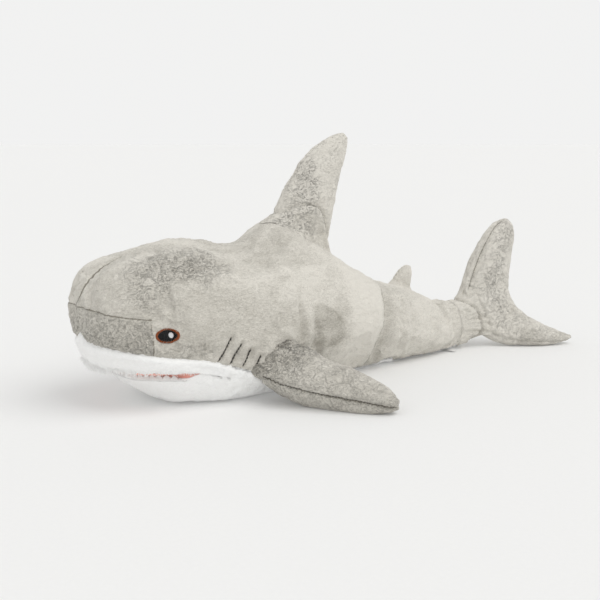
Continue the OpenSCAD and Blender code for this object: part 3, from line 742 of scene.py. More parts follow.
def felt(name, colour, deep, scale=900, sheen=0.2):
    g = Graph(name)
    rest = g.attribute("rest", True)
    fibre = g.noise(g.stretched(rest, (1, 0.5, 0.7), (0.5, 0.3, 0.8)), scale, 4.0, 0.7, 1.0)
    cloud = g.noise(rest, scale / 9, 3.0, 0.6)
    share = g.ramp(g.math("ADD", fibre, g.math("MULTIPLY", cloud, 0.6)), 0.55, 1.05)
    g.plug(g.shader.inputs["Base Color"], g.mix(share, deep, colour))
    g.plug(g.shader.inputs["Normal"], g.bump(fibre, 0.7, 0.0007))
    g.plug(g.shader.inputs["Roughness"], g.ramp(fibre, 0.2, 0.8, 0.98, 0.85))
    g.shader.inputs["Specular IOR Level"].default_value = 0.2
    g.shader.inputs["Sheen Weight"].default_value = sheen
    return g.material


def thread(name, colour, deep, gloss=0.45):
    """Twisted embroidery thread."""
    g = Graph(name)
    rest = g.attribute("rest", True)
    ply = g.nodes.new("ShaderNodeTexWave")
    g.plug(ply.inputs["Vector"], g.stretched(rest, (1, 1, 1), (0.7, 0.4, 0.9)))
    ply.inputs["Scale"].default_value = 620
    ply.inputs["Distortion"].default_value = 3.0
    fluff = g.noise(rest, 1500, 2.0, 0.6)
    share = g.ramp(g.math("ADD", ply.outputs["Fac"], fluff), 0.5, 1.4)
    g.plug(g.shader.inputs["Base Color"], g.mix(share, deep, colour))
    g.plug(g.shader.inputs["Normal"], g.bump(ply.outputs["Fac"], 0.5, 0.0003))
    g.plug(g.shader.inputs["Roughness"], g.ramp(fluff, 0.2, 0.8, gloss + 0.1, gloss - 0.1))
    g.shader.inputs["Specular IOR Level"].default_value = 0.3
    g.shader.inputs["Sheen Weight"].default_value = 0.05
    return g.material


pink_lining = felt("pink_lining", (0.97, 0.58, 0.50), (0.92, 0.45, 0.38), 700)
white_felt = felt("white_felt", (0.86, 0.86, 0.85), (0.72, 0.71, 0.70), 1100)
brown_thread = thread("brown_thread", (0.36, 0.10, 0.03), (0.20, 0.05, 0.014))
black_thread = thread("black_thread", (0.009, 0.009, 0.010), (0.003, 0.003, 0.003), 0.55)
white_thread = thread("white_thread", (0.88, 0.88, 0.88), (0.6, 0.6, 0.62))
gill_thread = thread("gill_thread", (0.05, 0.05, 0.052), (0.015, 0.015, 0.016), 0.6)
seam_thread = thread("seam_thread", (0.16, 0.15, 0.135), (0.07, 0.066, 0.06), 0.7)


def dressed(obj, material, slot, replaces=(), fill=None):
    obj.data.materials.append(material)
    if replaces:
        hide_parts(*replaces)
    return obj


# ---- Body covers ----
LIP_END = -0.215
normals = grid_normals(skin, True)
body_masks = masks(skin)
body_points = piled(skin, normals, tousle=body_masks["tousle"])
centre = (skin[:-1] + skin[1:] + np.roll(skin, -1, 1)[:-1] + np.roll(skin, -1, 1)[1:]) / 4
seam_gap = centre[..., 2] - on_strip(white_z, centre)
is_white = seam_gap < 0
STOCK_CUT = 0.366
is_snout = (centre[..., 1] < SNOUT_END) & (centre[..., 2] < on_strip(dart_z, centre))
is_left = centre[..., 0] > 0
for s, here in (("left", is_left), ("right", ~is_left)):
    gray = (seam_gap > -0.0032) & here & (centre[..., 1] < STOCK_CUT)
    back = piece(f"back_cover_{s}", body_points, gray & ~is_snout, True, body_masks)
    dressed(back, gray_plush, "gray_plush", (f"back_panel_{s}", f"rear_panel_{s}"), 0.85)
    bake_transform(back)
    snout = piece(f"snout_cover_{s}", body_points, gray & is_snout, True, body_masks)
    dressed(snout, dark_plush, "dark_plush", (f"snout_panel_{s}",), 0.85)
    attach(snout, "torso")
is_belly = is_white & (centre[..., 1] > LIP_END - 0.004) & (centre[..., 1] < STOCK_CUT)
belly = piece("belly_cover", body_points, is_belly, True, body_masks)
dressed(belly, white_plush, "white_plush",
        ("belly_panel", "rear_belly_panel", "head_filling", "torso_filling", "rear_filling"), 0.8)
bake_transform(belly)

body_tree = grid_tree(skin)


# ---- Mouth ----
def mouth_line(y):
    """Height of the upper lip's edge, which falls to the hinge's height at the corner."""
    t = np.clip((CORNER[1] - y) / 0.134, 0, 1)
    return CORNER[2] + 0.012 * t**0.75


def corner_fade(y, reach=0.05):
    return smooth(CORNER[1] - y, 0.0, reach)


def cheek_line(y):
    """Height of the seam that runs on behind the mouth's corner."""
    return CORNER[2] - 0.26 * np.maximum(y - CORNER[1], 0)


# Columns round the snout, from the right end of the lip to its left end
ring_y = np.concatenate([strip_y[strip_y <= LIP_END + 1e-6], [LIP_END]])
ring_turn = strip_turn[:len(ring_y)]
ring_y = np.concatenate([ring_y[::-1], ring_y[1:]])
ring_turn = np.concatenate([-ring_turn[::-1], ring_turn[1:]])
ring_dir = np.stack([np.sin(ring_turn), -np.cos(ring_turn), 0 * ring_turn], 1)
COLUMNS = len(ring_y)
ring_white = np.interp(np.abs(np.arange(COLUMNS) - (COLUMNS - 1) / 2), np.arange(len(white_z)), white_z)
# How far along the body the skin is in each column, at the mouth's height
side_y = ring_y.copy()
for k in range(COLUMNS):
    side_y[k] += cast(np.array([0, ring_y[k], CORNER[2] + 0.004]), ring_dir[k])[0] * ring_dir[k, 1]


def strip_surface(origins, directions, tree):
    """How far the outside is for each row and column, with misses and narrow gaps filled in."""
    n, m = directions.shape[:2]
    r = np.zeros((n, m))
    for k in range(m):
        for i in range(n):
            for dy in (0, -0.0025, 0.0025) if abs(ring_turn[k]) > 1.5 else (0,):
                r[i, k] = max(r[i, k], cast(origins[i, k] + [0, dy, 0], directions[i, k], tree)[0])
    for i in range(n):
        good = r[i] > 0.01
        r[i] = np.interp(np.arange(m), np.where(good)[0], r[i, good]) if good.any() else r[i - 1]
    return r


def strip_origins(rows, z):
    """Points on the middle plane that the rows and columns are cast from."""
    shape = (rows, COLUMNS)
    return np.stack([np.zeros(shape), np.broadcast_to(ring_y, shape), np.broadcast_to(z, shape)], -1)


def outside_normals(points, outward):
    n = grid_normals(points)
    return n * np.sign((n * outward).sum(-1))[..., None]


ROLL_ROWS = 7
UP = np.array([0, 0, 1])


def rolled_edge(edge, flat, towards, round_in, round_down, depth):
    """Rows of points and normals where the plush rolls in at the mouth's edge."""
    rows, outwards = [], []
    for i in range(ROLL_ROWS):
        a = (i + 1) / ROLL_ROWS * math.pi * 0.8
        inwards = round_in * (1 - math.cos(a)) * fade[0] + depth * i / (ROLL_ROWS - 1)
        turned = towards * (round_down * math.sin(a) * fade[0])[:, None]
        rows.append(edge - flat * inwards[:, None] + turned)
        outwards.append(flat * math.cos(a) + towards * math.sin(a))
    return np.array(rows), np.array(outwards)


LIP_ROWS = 26
lip_top = ring_white + 0.0015
on_lip = side_y < CORNER[1]
lip_low = np.where(on_lip, mouth_line(side_y), cheek_line(side_y))
v = np.linspace(0, 1, LIP_ROWS)[:, None]
origin = strip_origins(LIP_ROWS, lip_top + (lip_low - lip_top) * v)
outward = np.tile(ring_dir[None], (LIP_ROWS, 1, 1))
near, far = strip_surface(origin, outward, body_tree), strip_surface(origin, outward, None)
to_body = smooth(ring_y, LIP_END - 0.035, LIP_END - 0.006)[None]
share_v = smooth(v, 0.1, 0.6) * (1 - to_body)
distance = blurred(blurred(near * (1 - share_v) + far * share_v, 1.5, 0), 2.0, 1)
distance = distance * (1 - to_body) + near * to_body
lip = origin + outward * distance[..., None]
lip_normal = outside_normals(lip, outward)
fade = corner_fade(side_y)[None]
puff = 2.8 * MM * np.sin(math.pi * v) ** 0.7 * (0.35 + 0.65 * fade) * (1 - to_body)
puff = puff - 1.9 * MM * (1 - smooth(v, 0.0, 0.12))
lip = lip + lip_normal * (puff + 0.8 * MM * noise(lip, 0.03, 30))[..., None]
# The lower edge rolls in under the lip, far in front and little at the sides
edge = lip[-1]
flat = unit(lip_normal[-1] * [1, 1, 0])
depth = (0.001 + 0.024 * smooth(-edge[:, 1], 0.345, 0.40)) * fade[0]
roll, roll_normals = rolled_edge(edge, flat, -UP, 0.0035, 0.0032, depth)
lip = np.concatenate([lip, roll])
lip_normal = np.concatenate([lip_normal, roll_normals])
roof_edge = lip[-2]
lower = smooth(np.linspace(0, 1, len(lip)), 0.55, 0.8)[:, None]
shaggy = 1.0 + 1.6 * lower * smooth(-lip[..., 1], 0.30, 0.38)
tufts = (0.8 * noise(lip, 0.010, 31) + 0.7 * noise(lip, 0.005, 32)) * shaggy * MM
lip_piled = lip + unit(lip_normal) * tufts[..., None]
lip_obj = piece("upper_lip_cover", lip_piled, attributes=masks(lip))
dressed(lip_obj, white_plush, "white_plush", ("upper_lip_panel",), 0.8)
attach(lip_obj, "torso")

# Jaw: a bowl from the mouth's edge down to the floor
JAW_ROWS = 44
jaw_top = np.where(on_lip, CORNER[2] - 0.0095 * corner_fade(side_y, 0.03), cheek_line(side_y))
lean = (np.linspace(0, 1, JAW_ROWS) ** 0.9 * math.pi / 2)[:, None]
origin = strip_origins(JAW_ROWS, jaw_top)
outward = np.cos(lean)[..., None] * ring_dir - np.sin(lean)[..., None] * UP
near = strip_surface(origin, outward, body_tree)
distance = blurred(blurred(strip_surface(origin, outward, None), 2.0, 0), 2.5, 1)
distance = distance * (1 - to_body) + near * to_body
jaw = origin + outward * distance[..., None]
jaw_normal = outside_normals(jaw, outward)
v = np.linspace(0, 1, JAW_ROWS)[:, None]
puff = 1.2 * MM * noise(jaw, 0.035, 35) * (1 - to_body) - 3.0 * MM * fade * (1 - smooth(v, 0, 0.4))
jaw = jaw + jaw_normal * puff[..., None]
edge = jaw[0]
flat = unit(jaw_normal[0] * [1, 1, 0])
roll, roll_normals = rolled_edge(edge, flat, UP, 0.003, 0.003, 0.005 * fade[0])
jaw = np.concatenate([roll[::-1], jaw])
jaw_normal = np.concatenate([roll_normals[::-1], jaw_normal])
floor_edge = jaw[1]
tufts = (0.7 * noise(jaw, 0.010, 33) + 0.6 * noise(jaw, 0.005, 34)) * MM
jaw_piled = jaw + unit(jaw_normal) * tufts[..., None]
jaw_piled[..., 2] = np.maximum(jaw_piled[..., 2], ABOVE_FLOOR)
jaw_obj = piece("jaw_cover", jaw_piled, attributes=masks(jaw))
dressed(jaw_obj, white_plush, "white_plush", ("jaw_panel", "jaw_filling"), 0.75)
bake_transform(jaw_obj)


def mouth_sheet(name, edge, level, nodes, body):
    """Pink lining inside the mouth: it leaves the edge, swells to its level and runs to the middle."""
    inside = edge[on_lip]
    hub = np.array([0, CORNER[1] - 0.02, level])
    rings = np.concatenate([np.linspace(1, 0.94, 12), np.linspace(0.9, 0.02, 12)])
    pts = np.zeros((len(rings), len(inside), 3))
    for i, r in enumerate(rings):
        w = smooth(r, 0.955, 1.0)
        pts[i] = hub + (inside - hub) * r
        pts[i, :, 2] = inside[:, 2] * w + level * (1 - w)
    pts[..., 2] += 0.0008 * noise(pts, 0.012, 41) + 0.0005 * noise(pts, 0.005, 42)
    obj = piece(name, pts)
    dressed(obj, pink_lining, "pink_lining", nodes)
    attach(obj, body)
    return obj


mouth_sheet("mouth_roof", roof_edge, CORNER[2] + 0.0004, ("mouth_roof_lining",), "torso")
mouth_sheet("mouth_floor", floor_edge, CORNER[2] - 0.0002, ("mouth_floor_lining",), "jaw")


def teeth(name, edge, outwards, inset, base, height, pitch, body, nodes, phase=0.0):
    """A strip of felt cut in scallops, standing inside the mouth's edge."""
    keep = edge[:, 1] < CORNER[1] - 0.02
    line = edge[keep] - unit(outwards[keep] * [1, 1, 0]) * inset
    length = np.concatenate([[0], np.cumsum(np.linalg.norm(np.diff(line, axis=0), axis=1))])
    fine = np.arange(0, length[-1], 0.0007)
    line = np.stack([np.interp(fine, length, line[:, k]) for k in range(3)], 1)
    along = unit(np.gradient(line, axis=0) * [1, 1, 0])
    out = np.stack([-along[:, 1], along[:, 0], 0 * along[:, 0]], 1)
    end_fade = smooth(np.minimum(fine, length[-1] - fine), 0, 0.02)
    if height > 0:  # the lower row fills most of the gap up to the lip
        height = mouth_line(line[:, 1]) - 0.0070 - line[:, 2] - base
    scallop = np.abs(np.sin(math.pi * fine / pitch + phase + 0.5 * np.sin(fine * 90))) ** 0.8
    tall = height * (0.45 + 0.55 * scallop) * (0.2 + 0.8 * end_fade)
    outer = [(0.0006, 0), (0.0007, 0.35), (0.0006, 0.7), (0.0003, 0.95)]
    inner = [(-thick, share) for thick, share in reversed(outer)]
    rows = []
    for thick, share in outer + [(0, 1.0)] + inner:
        z = line[:, 2] + base + tall * share
        rows.append(line * [1, 1, 0] + np.stack([0 * z, 0 * z, z], 1) + out * thick)
    pts = np.stack(rows)
    pts = np.concatenate([pts, pts[:1]])
    pts = pts + 0.0003 * np.stack([noise(pts, 0.004, 51 + k) for k in range(3)], -1)
    obj = piece(name, pts)
    dressed(obj, white_felt, "white_felt", nodes)
    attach(obj, body)


teeth("upper_teeth_strip", lip[LIP_ROWS - 1], lip_normal[LIP_ROWS - 1], 0.0085, 0.002, -0.0045, 0.0085,
      "torso", ("upper_teeth",))
teeth("lower_teeth_strip", jaw[ROLL_ROWS], jaw_normal[ROLL_ROWS], 0.0005, -0.003, 1.0, 0.0105,
      "jaw", ("lower_teeth",), 0.6)


# ---- Threads and embroidery ----
draws = np.random.default_rng(5)
def threads(name, paths, thick, material, sides=6):
    """Short lengths of thread as closed tubes with tapered ends; each path is a list of points."""
    verts, faces = [], []
    for path in paths:
        path = np.asarray(path, float)
        n = len(path)
        along = unit(np.gradient(path, axis=0))
        a = unit(np.cross(along, np.where(np.abs(along[:, 2:]) < 0.9, [0, 0, 1.0], [1.0, 0, 0])))
        b = np.cross(along, a)
        base = len(verts)
        for i in range(n):
            t = i / (n - 1)
            r = thick * (0.25 + 0.75 * math.sin(math.pi * t) ** 0.35 if 0 < i < n - 1 else 0.3)
            for s in range(sides):
                w = 2 * math.pi * s / sides
                verts.append(path[i] + r * (math.cos(w) * a[i] + math.sin(w) * b[i]))
        for s in range(sides):
            s2 = (s + 1) % sides
            for low in range(base, base + (n - 1) * sides, sides):
                faces.append([low + s, low + s2, low + sides + s2, low + sides + s])
        verts += [path[0], path[-1]]
        tip = base + (n - 1) * sides
        for s in range(sides):
            s2 = (s + 1) % sides
            faces.append([len(verts) - 2, base + s2, base + s])
            faces.append([len(verts) - 1, tip + s, tip + s2])
    mesh = bpy.data.meshes.new(name)
    mesh.from_pydata([tuple(v) for v in verts], [], faces)
    rest = mesh.attributes.new("rest", "FLOAT_VECTOR", "POINT")
    rest.data.foreach_set("vector", np.array(verts, np.float32).ravel())
    seam = mesh.attributes.new("seam", "FLOAT", "POINT")
    seam.data.foreach_set("value", np.full(len(verts), NO_SEAM, np.float32))
    mesh.shade_smooth()
    obj = bpy.data.objects.new(name, mesh)
    bpy.context.scene.collection.objects.link(obj)
    obj.data.materials.append(material)
    return obj


def fur(name, roots, ways, lengths, thick, material, body):
    """Loose curved fibres standing from the roots."""
    paths = []
    for root, way, length in zip(roots, ways, lengths):
        side = unit(np.cross(way, draws.normal(size=3)))
        bend = draws.uniform(-0.5, 0.5)
        paths.append([root + way * length * t + side * bend * length * t * t for t in np.linspace(0, 1, 5)])
    obj = threads(name, paths, thick, material, 5)
    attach(obj, body)
    return obj


# Ragged fur along the lip's lower edge, longest in front
row_of = len(lip) - 7
front = np.where(side_y < CORNER[1] - 0.01)[0]
count = 900
fibre_column, fibre_row = draws.choice(front, count), draws.integers(row_of - 5, row_of + 3, count)
roots = lip_piled[fibre_row, fibre_column] + draws.normal(size=(count, 3)) * 0.0008
outwards = unit(lip_normal[fibre_row, fibre_column] * [1, 1, 0]) * draws.uniform(0.1, 0.9, (count, 1))
ways = unit(outwards - UP + draws.normal(size=(count, 3)) * 0.35)
frontness = smooth(-roots[:, 1], 0.30, 0.40)
lengths = draws.uniform(0.003, 0.006, count) * (0.6 + 1.0 * frontness)
fur("upper_lip_fur", roots, ways, lengths, 0.33 * MM, white_plush, "torso")


def side_point(p, proud, sign=1):
    """The body's skin beside p, stood proud of it."""
    place, normal, _, _ = body_tree.ray_cast(Vector((sign * 0.4, p[1], p[2])), Vector((-sign, 0, 0)), 0.5)
    normal = np.array(normal)
    normal = normal if normal[0] * sign > 0 else -normal
    return np.array(place) + normal * proud


EYE = np.array([0.0, -0.315, 0.121])
EYE_HALF = np.array([0.0175, 0.011])


def eye_spot(u, v, proud, sign):
    return side_point(EYE + [0, u * EYE_HALF[0], v * EYE_HALF[1]], proud, sign)


def embroidered(name, node, paths, thick, material):
    obj = threads(name, paths, thick, material)
    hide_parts(node)
    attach(obj, "torso")


# The raised ring of thread: share of the eye's size, height in mm
RING_PROFILE = ((0.76, 0.2), (0.82, 1.0), (0.90, 1.35), (0.98, 1.1), (1.03, 0.1))
BOTH_SIDES = (("left", 1), ("right", -1))
for s, sign in BOTH_SIDES:
    paths = []
    for k in range(96):
        a = 2 * math.pi * (k + draws.uniform(-0.3, 0.3)) / 96
        paths.append([eye_spot(math.cos(a) * r, math.sin(a) * r, h * MM, sign) for r, h in RING_PROFILE])
    embroidered(f"eye_ring_stitches_{s}", f"eye_ring_{s}", paths, 0.52 * MM, brown_thread)
    paths = []
    for k in range(41):
        u = -0.79 + 1.58 * k / 40
        half = math.sqrt(max(0.02, 1 - (u / 0.82) ** 2)) * 0.80
        lift = 1.0 + 0.5 * (1 - u * u)
        paths.append([eye_spot(u + 0.03 * t, half * t, (lift * (1 - t**4) + 0.15) * MM, sign)
                      for t in np.linspace(-1, 1, 9)])
    embroidered(f"pupil_stitches_{s}", f"pupil_{s}", paths, 0.50 * MM, black_thread)
    paths = []
    for k in range(13):
        v = -0.9 + 1.8 * k / 12
        half = math.sqrt(max(0.05, 1 - v * v)) * 0.27
        paths.append([eye_spot(0.28 + half * t, 0.03 + v * 0.40, (1.6 + 0.75 * (1 - t**4)) * MM, sign)
                      for t in np.linspace(-1, 1, 6)])
    embroidered(f"eye_glint_stitches_{s}", f"eye_glint_{s}", paths, 0.46 * MM, white_thread)
    paths = []
    for a, b in gills:
        count = max(4, int(np.linalg.norm(b - a) / 0.0052))
        for k in range(count):
            t0, t1 = (k + 0.04) / count, (k + 0.92) / count
            paths.append([side_point(a + (b - a) * (t0 + (t1 - t0) * w),
                                     (0.9 * math.sin(math.pi * w) - 0.1) * MM, sign)
                          for w in np.linspace(0, 1, 6)])
    embroidered(f"gill_threads_{s}", f"gill_stitches_{s}", paths, 0.95 * MM, gill_thread)


# ---- Fins ----
def curve(points, u):
    """Smooth curve through the points, u from 0 to 1."""
    points = np.asarray(points, float)
    n = len(points) - 1
    u = np.clip(u, 0, 1) * n
    i = np.minimum(u.astype(int), n - 1)
    t = (u - i)[:, None] if points.ndim > 1 else u - i
    p0, p1, p2, p3 = (points[np.clip(i + k, 0, n)] for k in (-1, 0, 1, 2))
    bow, twist = 2 * p0 - 5 * p1 + 4 * p2 - p3, 3 * p1 - p0 - 3 * p2 + p3
    return 0.5 * (2 * p1 + (p2 - p0) * t + bow * t**2 + twist * t**3)


def bezier(t, a, b, c, d):
    return (1 - t) ** 3 * a + 3 * t * (1 - t) ** 2 * b + 3 * t * t * (1 - t) * c + t**3 * d


CLOTH = 0.004


def fin_surface(front, back, plus, minus, rows, around, plus_round=0.5, tip=0.006, grow=0.002):
    """Ring grid of a fin from root to rounded tip, and the shares along and around it."""
    front, back = np.array(front) * MM, np.array(back) * MM
    s = np.linspace(0, 1, rows)
    f, b = curve(front, s), curve(back, s)
    span = np.gradient(f + b, axis=0)
    n = unit(np.cross(b - f, span))
    chord = unit(b - f)
    f, b = f - chord * grow, b + chord * grow
    psi = 2 * math.pi * np.arange(around) / around
    c = (1 - np.cos(psi)) / 2
    wave = np.abs(np.sin(psi))
    ring = f[:, None] + (b - f)[:, None] * c[None, :, None]
    up = np.where(np.sin(psi) > 0, 1.0, 0.0)
    half_plus = curve(np.array(plus) * MM, s)[:, None] * wave[None] ** (2 * plus_round)
    half_minus = curve(np.array(minus) * MM, s)[:, None] * wave[None]
    edge = CLOTH * wave[None] ** 0.6
    offset = np.where(up[None] > 0, half_plus + edge, -(half_minus + edge))
    ring = ring + n[:, None] * offset[..., None]
    # Round the tip off
    middle = ring[-1].mean(0)
    ahead = unit(span[-1])
    cap = []
    for k in range(1, 9):
        a = k / 8 * math.pi / 2
        cap.append(middle + (ring[-1] - middle) * max(math.cos(a), 0.01) + ahead * math.sin(a) * tip)
    ring = np.concatenate([ring, np.array(cap)])
    share = np.concatenate([s, 1 + np.arange(1, 9) / 8 * 0.03])
    return ring, share, psi


def skirted(ring, share, psi, width, tree, join=0.1, rows=14, sink=0.0012, soft=1.0):
    """The fin with a root that flares out over the body's skin."""
    root = ring[0]
    middle = root.mean(0)
    at = int(np.argmin(np.abs(share - join)))
    first, second = ring[at], ring[at + 1]
    rise = unit(ring[at].mean(0) - middle)
    outward = root - middle
    outward = unit(outward - (outward @ rise)[:, None] * rise)
    tangent = unit(first - second)
    skirt = []
    foot = []
    for k in range(len(psi)):
        place, normal, _, _ = tree.find_nearest(Vector(root[k] + outward[k] * width[k]))
        foot.append(np.array(place) - np.array(normal) * sink)
    # Even the foot line out and set it on the skin again
    foot = ring_mean(np.array(foot), 9)
    hits = [tree.find_nearest(Vector(p)) for p in foot]
    foot_normal = np.array([h[1] for h in hits])
    foot = np.array([h[0] for h in hits]) - foot_normal * sink
    rise_to = first - foot
    length = np.linalg.norm(rise_to, axis=1, keepdims=True)
    along = unit(rise_to - soft * (rise_to * foot_normal).sum(1, keepdims=True) * foot_normal)
    c1 = foot + along * length * 0.42
    c2 = first + tangent * length * 0.40
    for t in np.linspace(0, 1, rows, endpoint=False):
        skirt.append(bezier(t, foot, c1, c2, first))
    out = np.concatenate([np.array(skirt), ring[at:]])
    new_share = np.concatenate([join * (np.linspace(0, 1, rows, endpoint=False) - 1), share[at:]])
    return out, new_share


def closed_distance(psi):
    """Angle round the ring from the front edge, and from the back edge."""
    return np.minimum(psi, 2 * math.pi - psi), np.abs(psi - math.pi)


def fin_piece(name, grid, look, nodes, mask, depth=2.2, extra=None, seam_turn=0.0, line=0.0009):
    """Finished fin from its ring grid: seams sunk, stuffing lumpy, pile raised. look is material and slot
    name; the slot name is not used.
    """
    ring, share, psi = grid
    n = grid_normals(ring, True)
    hub = ring.mean(1, keepdims=True)
    if (n * (ring - hub)).sum() < 0:
        n = -n
    front_angle, back_angle = closed_distance((psi - seam_turn) % (2 * math.pi))
    # The edge's roundness: distance along the skin from each seam
    thick = np.linalg.norm(ring[:, len(psi) // 4] - ring[:, 3 * len(psi) // 4], axis=-1)[:, None] / 2
    thick = np.maximum(thick, 0.006)
    d_front, d_back = front_angle[None] * thick, back_angle[None] * thick
    live = smooth(share, -0.03, 0.02)[:, None]
    p = ring
    along = np.concatenate([[0], np.cumsum(np.linalg.norm(np.diff(ring[:, 0], axis=0), axis=1))])[:, None]
    pucker = 1 + 0.35 * np.sin(along * 2 * math.pi / 0.0075 + 2 * noise(p, 0.02, 63))
    groove = -depth * MM * (bump(d_front, 2.6 * MM) + bump(d_back, 2.6 * MM)) * live * pucker
    groove = groove + 0.7 * MM * (bump(d_front - 6 * MM, 3 * MM) + bump(d_back - 6 * MM, 3 * MM)) * live
    lumps = (1.3 * noise(p, 0.045, 61) + 0.8 * noise(p, 0.021, 62)) * MM * live
    more = extra(p, share, psi) if extra else 0
    p = p + n * (groove + lumps + more)[..., None]
    found = mask(p, share, psi)
    edge_seam = np.minimum(d_front, d_back) + line + NO_SEAM * (1 - live) + found.pop("plain", 0)
    found["seam"] = np.minimum(found["seam"], edge_seam)
    p = piled(p, n, 1.2, tousle=found["tousle"])
    obj = piece(name, p, None, True, found)
    dressed(obj, *look, nodes, 0.8)
    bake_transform(obj)
    return p, n


def plain_mask(p, share, psi):
    z = np.zeros(p.shape[:-1])
    return {"white": z - 0.1, "nap": z, "tousle": z + 0.1, "dark": z - 0.3, "seam": z + 0.02}


# Dorsal fin
dorsal_front = [[0, -66, 289], [0, -47, 319], [0, -29, 345], [0, -6, 374], [0, 18, 396], [0, 45, 412],
                [0, 70, 421]]
dorsal_back = [[0, 45, 230], [0, 46, 258], [0, 51, 291], [0, 60, 326], [0, 70, 360], [0, 80, 389],
               [0, 84, 411]]
dorsal_half = [19 * t for t in (0.55, 0.98, 1, 0.86, 0.66, 0.42, 0.12)]
ring, share, psi = fin_surface(dorsal_front, dorsal_back, dorsal_half, dorsal_half, 90, 96, tip=0.004)
ring, share = skirted(ring, share, psi, 0.034 + 0.010 * np.cos(psi), body_tree, 0.2, 26, 0.0016)
# The seam across the fin's root seen from the side, y and z
ARC = np.array([[-0.075, 0.287], [-0.052, 0.290], [-0.035, 0.297], [-0.011, 0.301],
                [0.010, 0.296], [0.021, 0.285], [0.030, 0.262], [0.043, 0.232]])


def dorsal_extra(p, share, psi):
    d, _ = line_distance(p[..., 1:], ARC)
    above = p[..., 2] - np.interp(p[..., 1], ARC[:, 0], ARC[:, 1])
    puffed = bump(above + 15 * MM, 12 * MM) * smooth(-above, 0, 6 * MM)
    return -3.2 * MM * bump(d, 2.8 * MM) + 2.8 * MM * puffed


def dorsal_mask(p, share, psi):
    m = plain_mask(p, share, psi)
    d, _ = line_distance(p, [[0.02, -0.055, 0.27], [0.02, -0.02, 0.275], [0.02, -0.01, 0.36]])
    m["tousle"] = 0.15 + 0.6 * (1 - smooth(d + 0.012 * noise(p, 0.02, 71), 0.004, 0.035))
    m["dark"] = 0.16 * m["tousle"] - 0.30 - 0.15 * smooth(p[..., 2], 0.34, 0.40)
    buried = 1 - smooth(p[..., 1], -0.045, -0.02)
    m["seam"] = line_distance(p[..., 1:], ARC)[0] + 0.0002 + 0.0012 * buried
    return m


fin_piece("dorsal_fin_cover", (ring, share, psi), (gray_plush, "gray_plush"),
          ("dorsal_fin_panel_left", "dorsal_fin_panel_right", "dorsal_fin_filling"),
          dorsal_mask, extra=dorsal_extra)

# Small rear dorsal fin
small_front = [[0, 193, 147.5], [0, 203, 158], [0, 214, 168], [0, 223, 173.5]]
small_back = [[0, 236, 130], [0, 236, 145], [0, 238, 160], [0, 235, 172]]
small_half = [2.2, 3.4, 2.6, 0.8]
ring, share, psi = fin_surface(small_front, small_back, small_half, small_half, 34, 48,
                               tip=0.002, grow=0.0015)
ring, share = skirted(ring, share, psi, 0.014 + 0 * psi, body_tree, 0.16, 12)
fin_piece("rear_dorsal_fin_cover", (ring, share, psi), (gray_plush, "gray_plush"),
          ("rear_dorsal_fin_panel_left", "rear_dorsal_fin_panel_right"),
          plain_mask, depth=1.2)

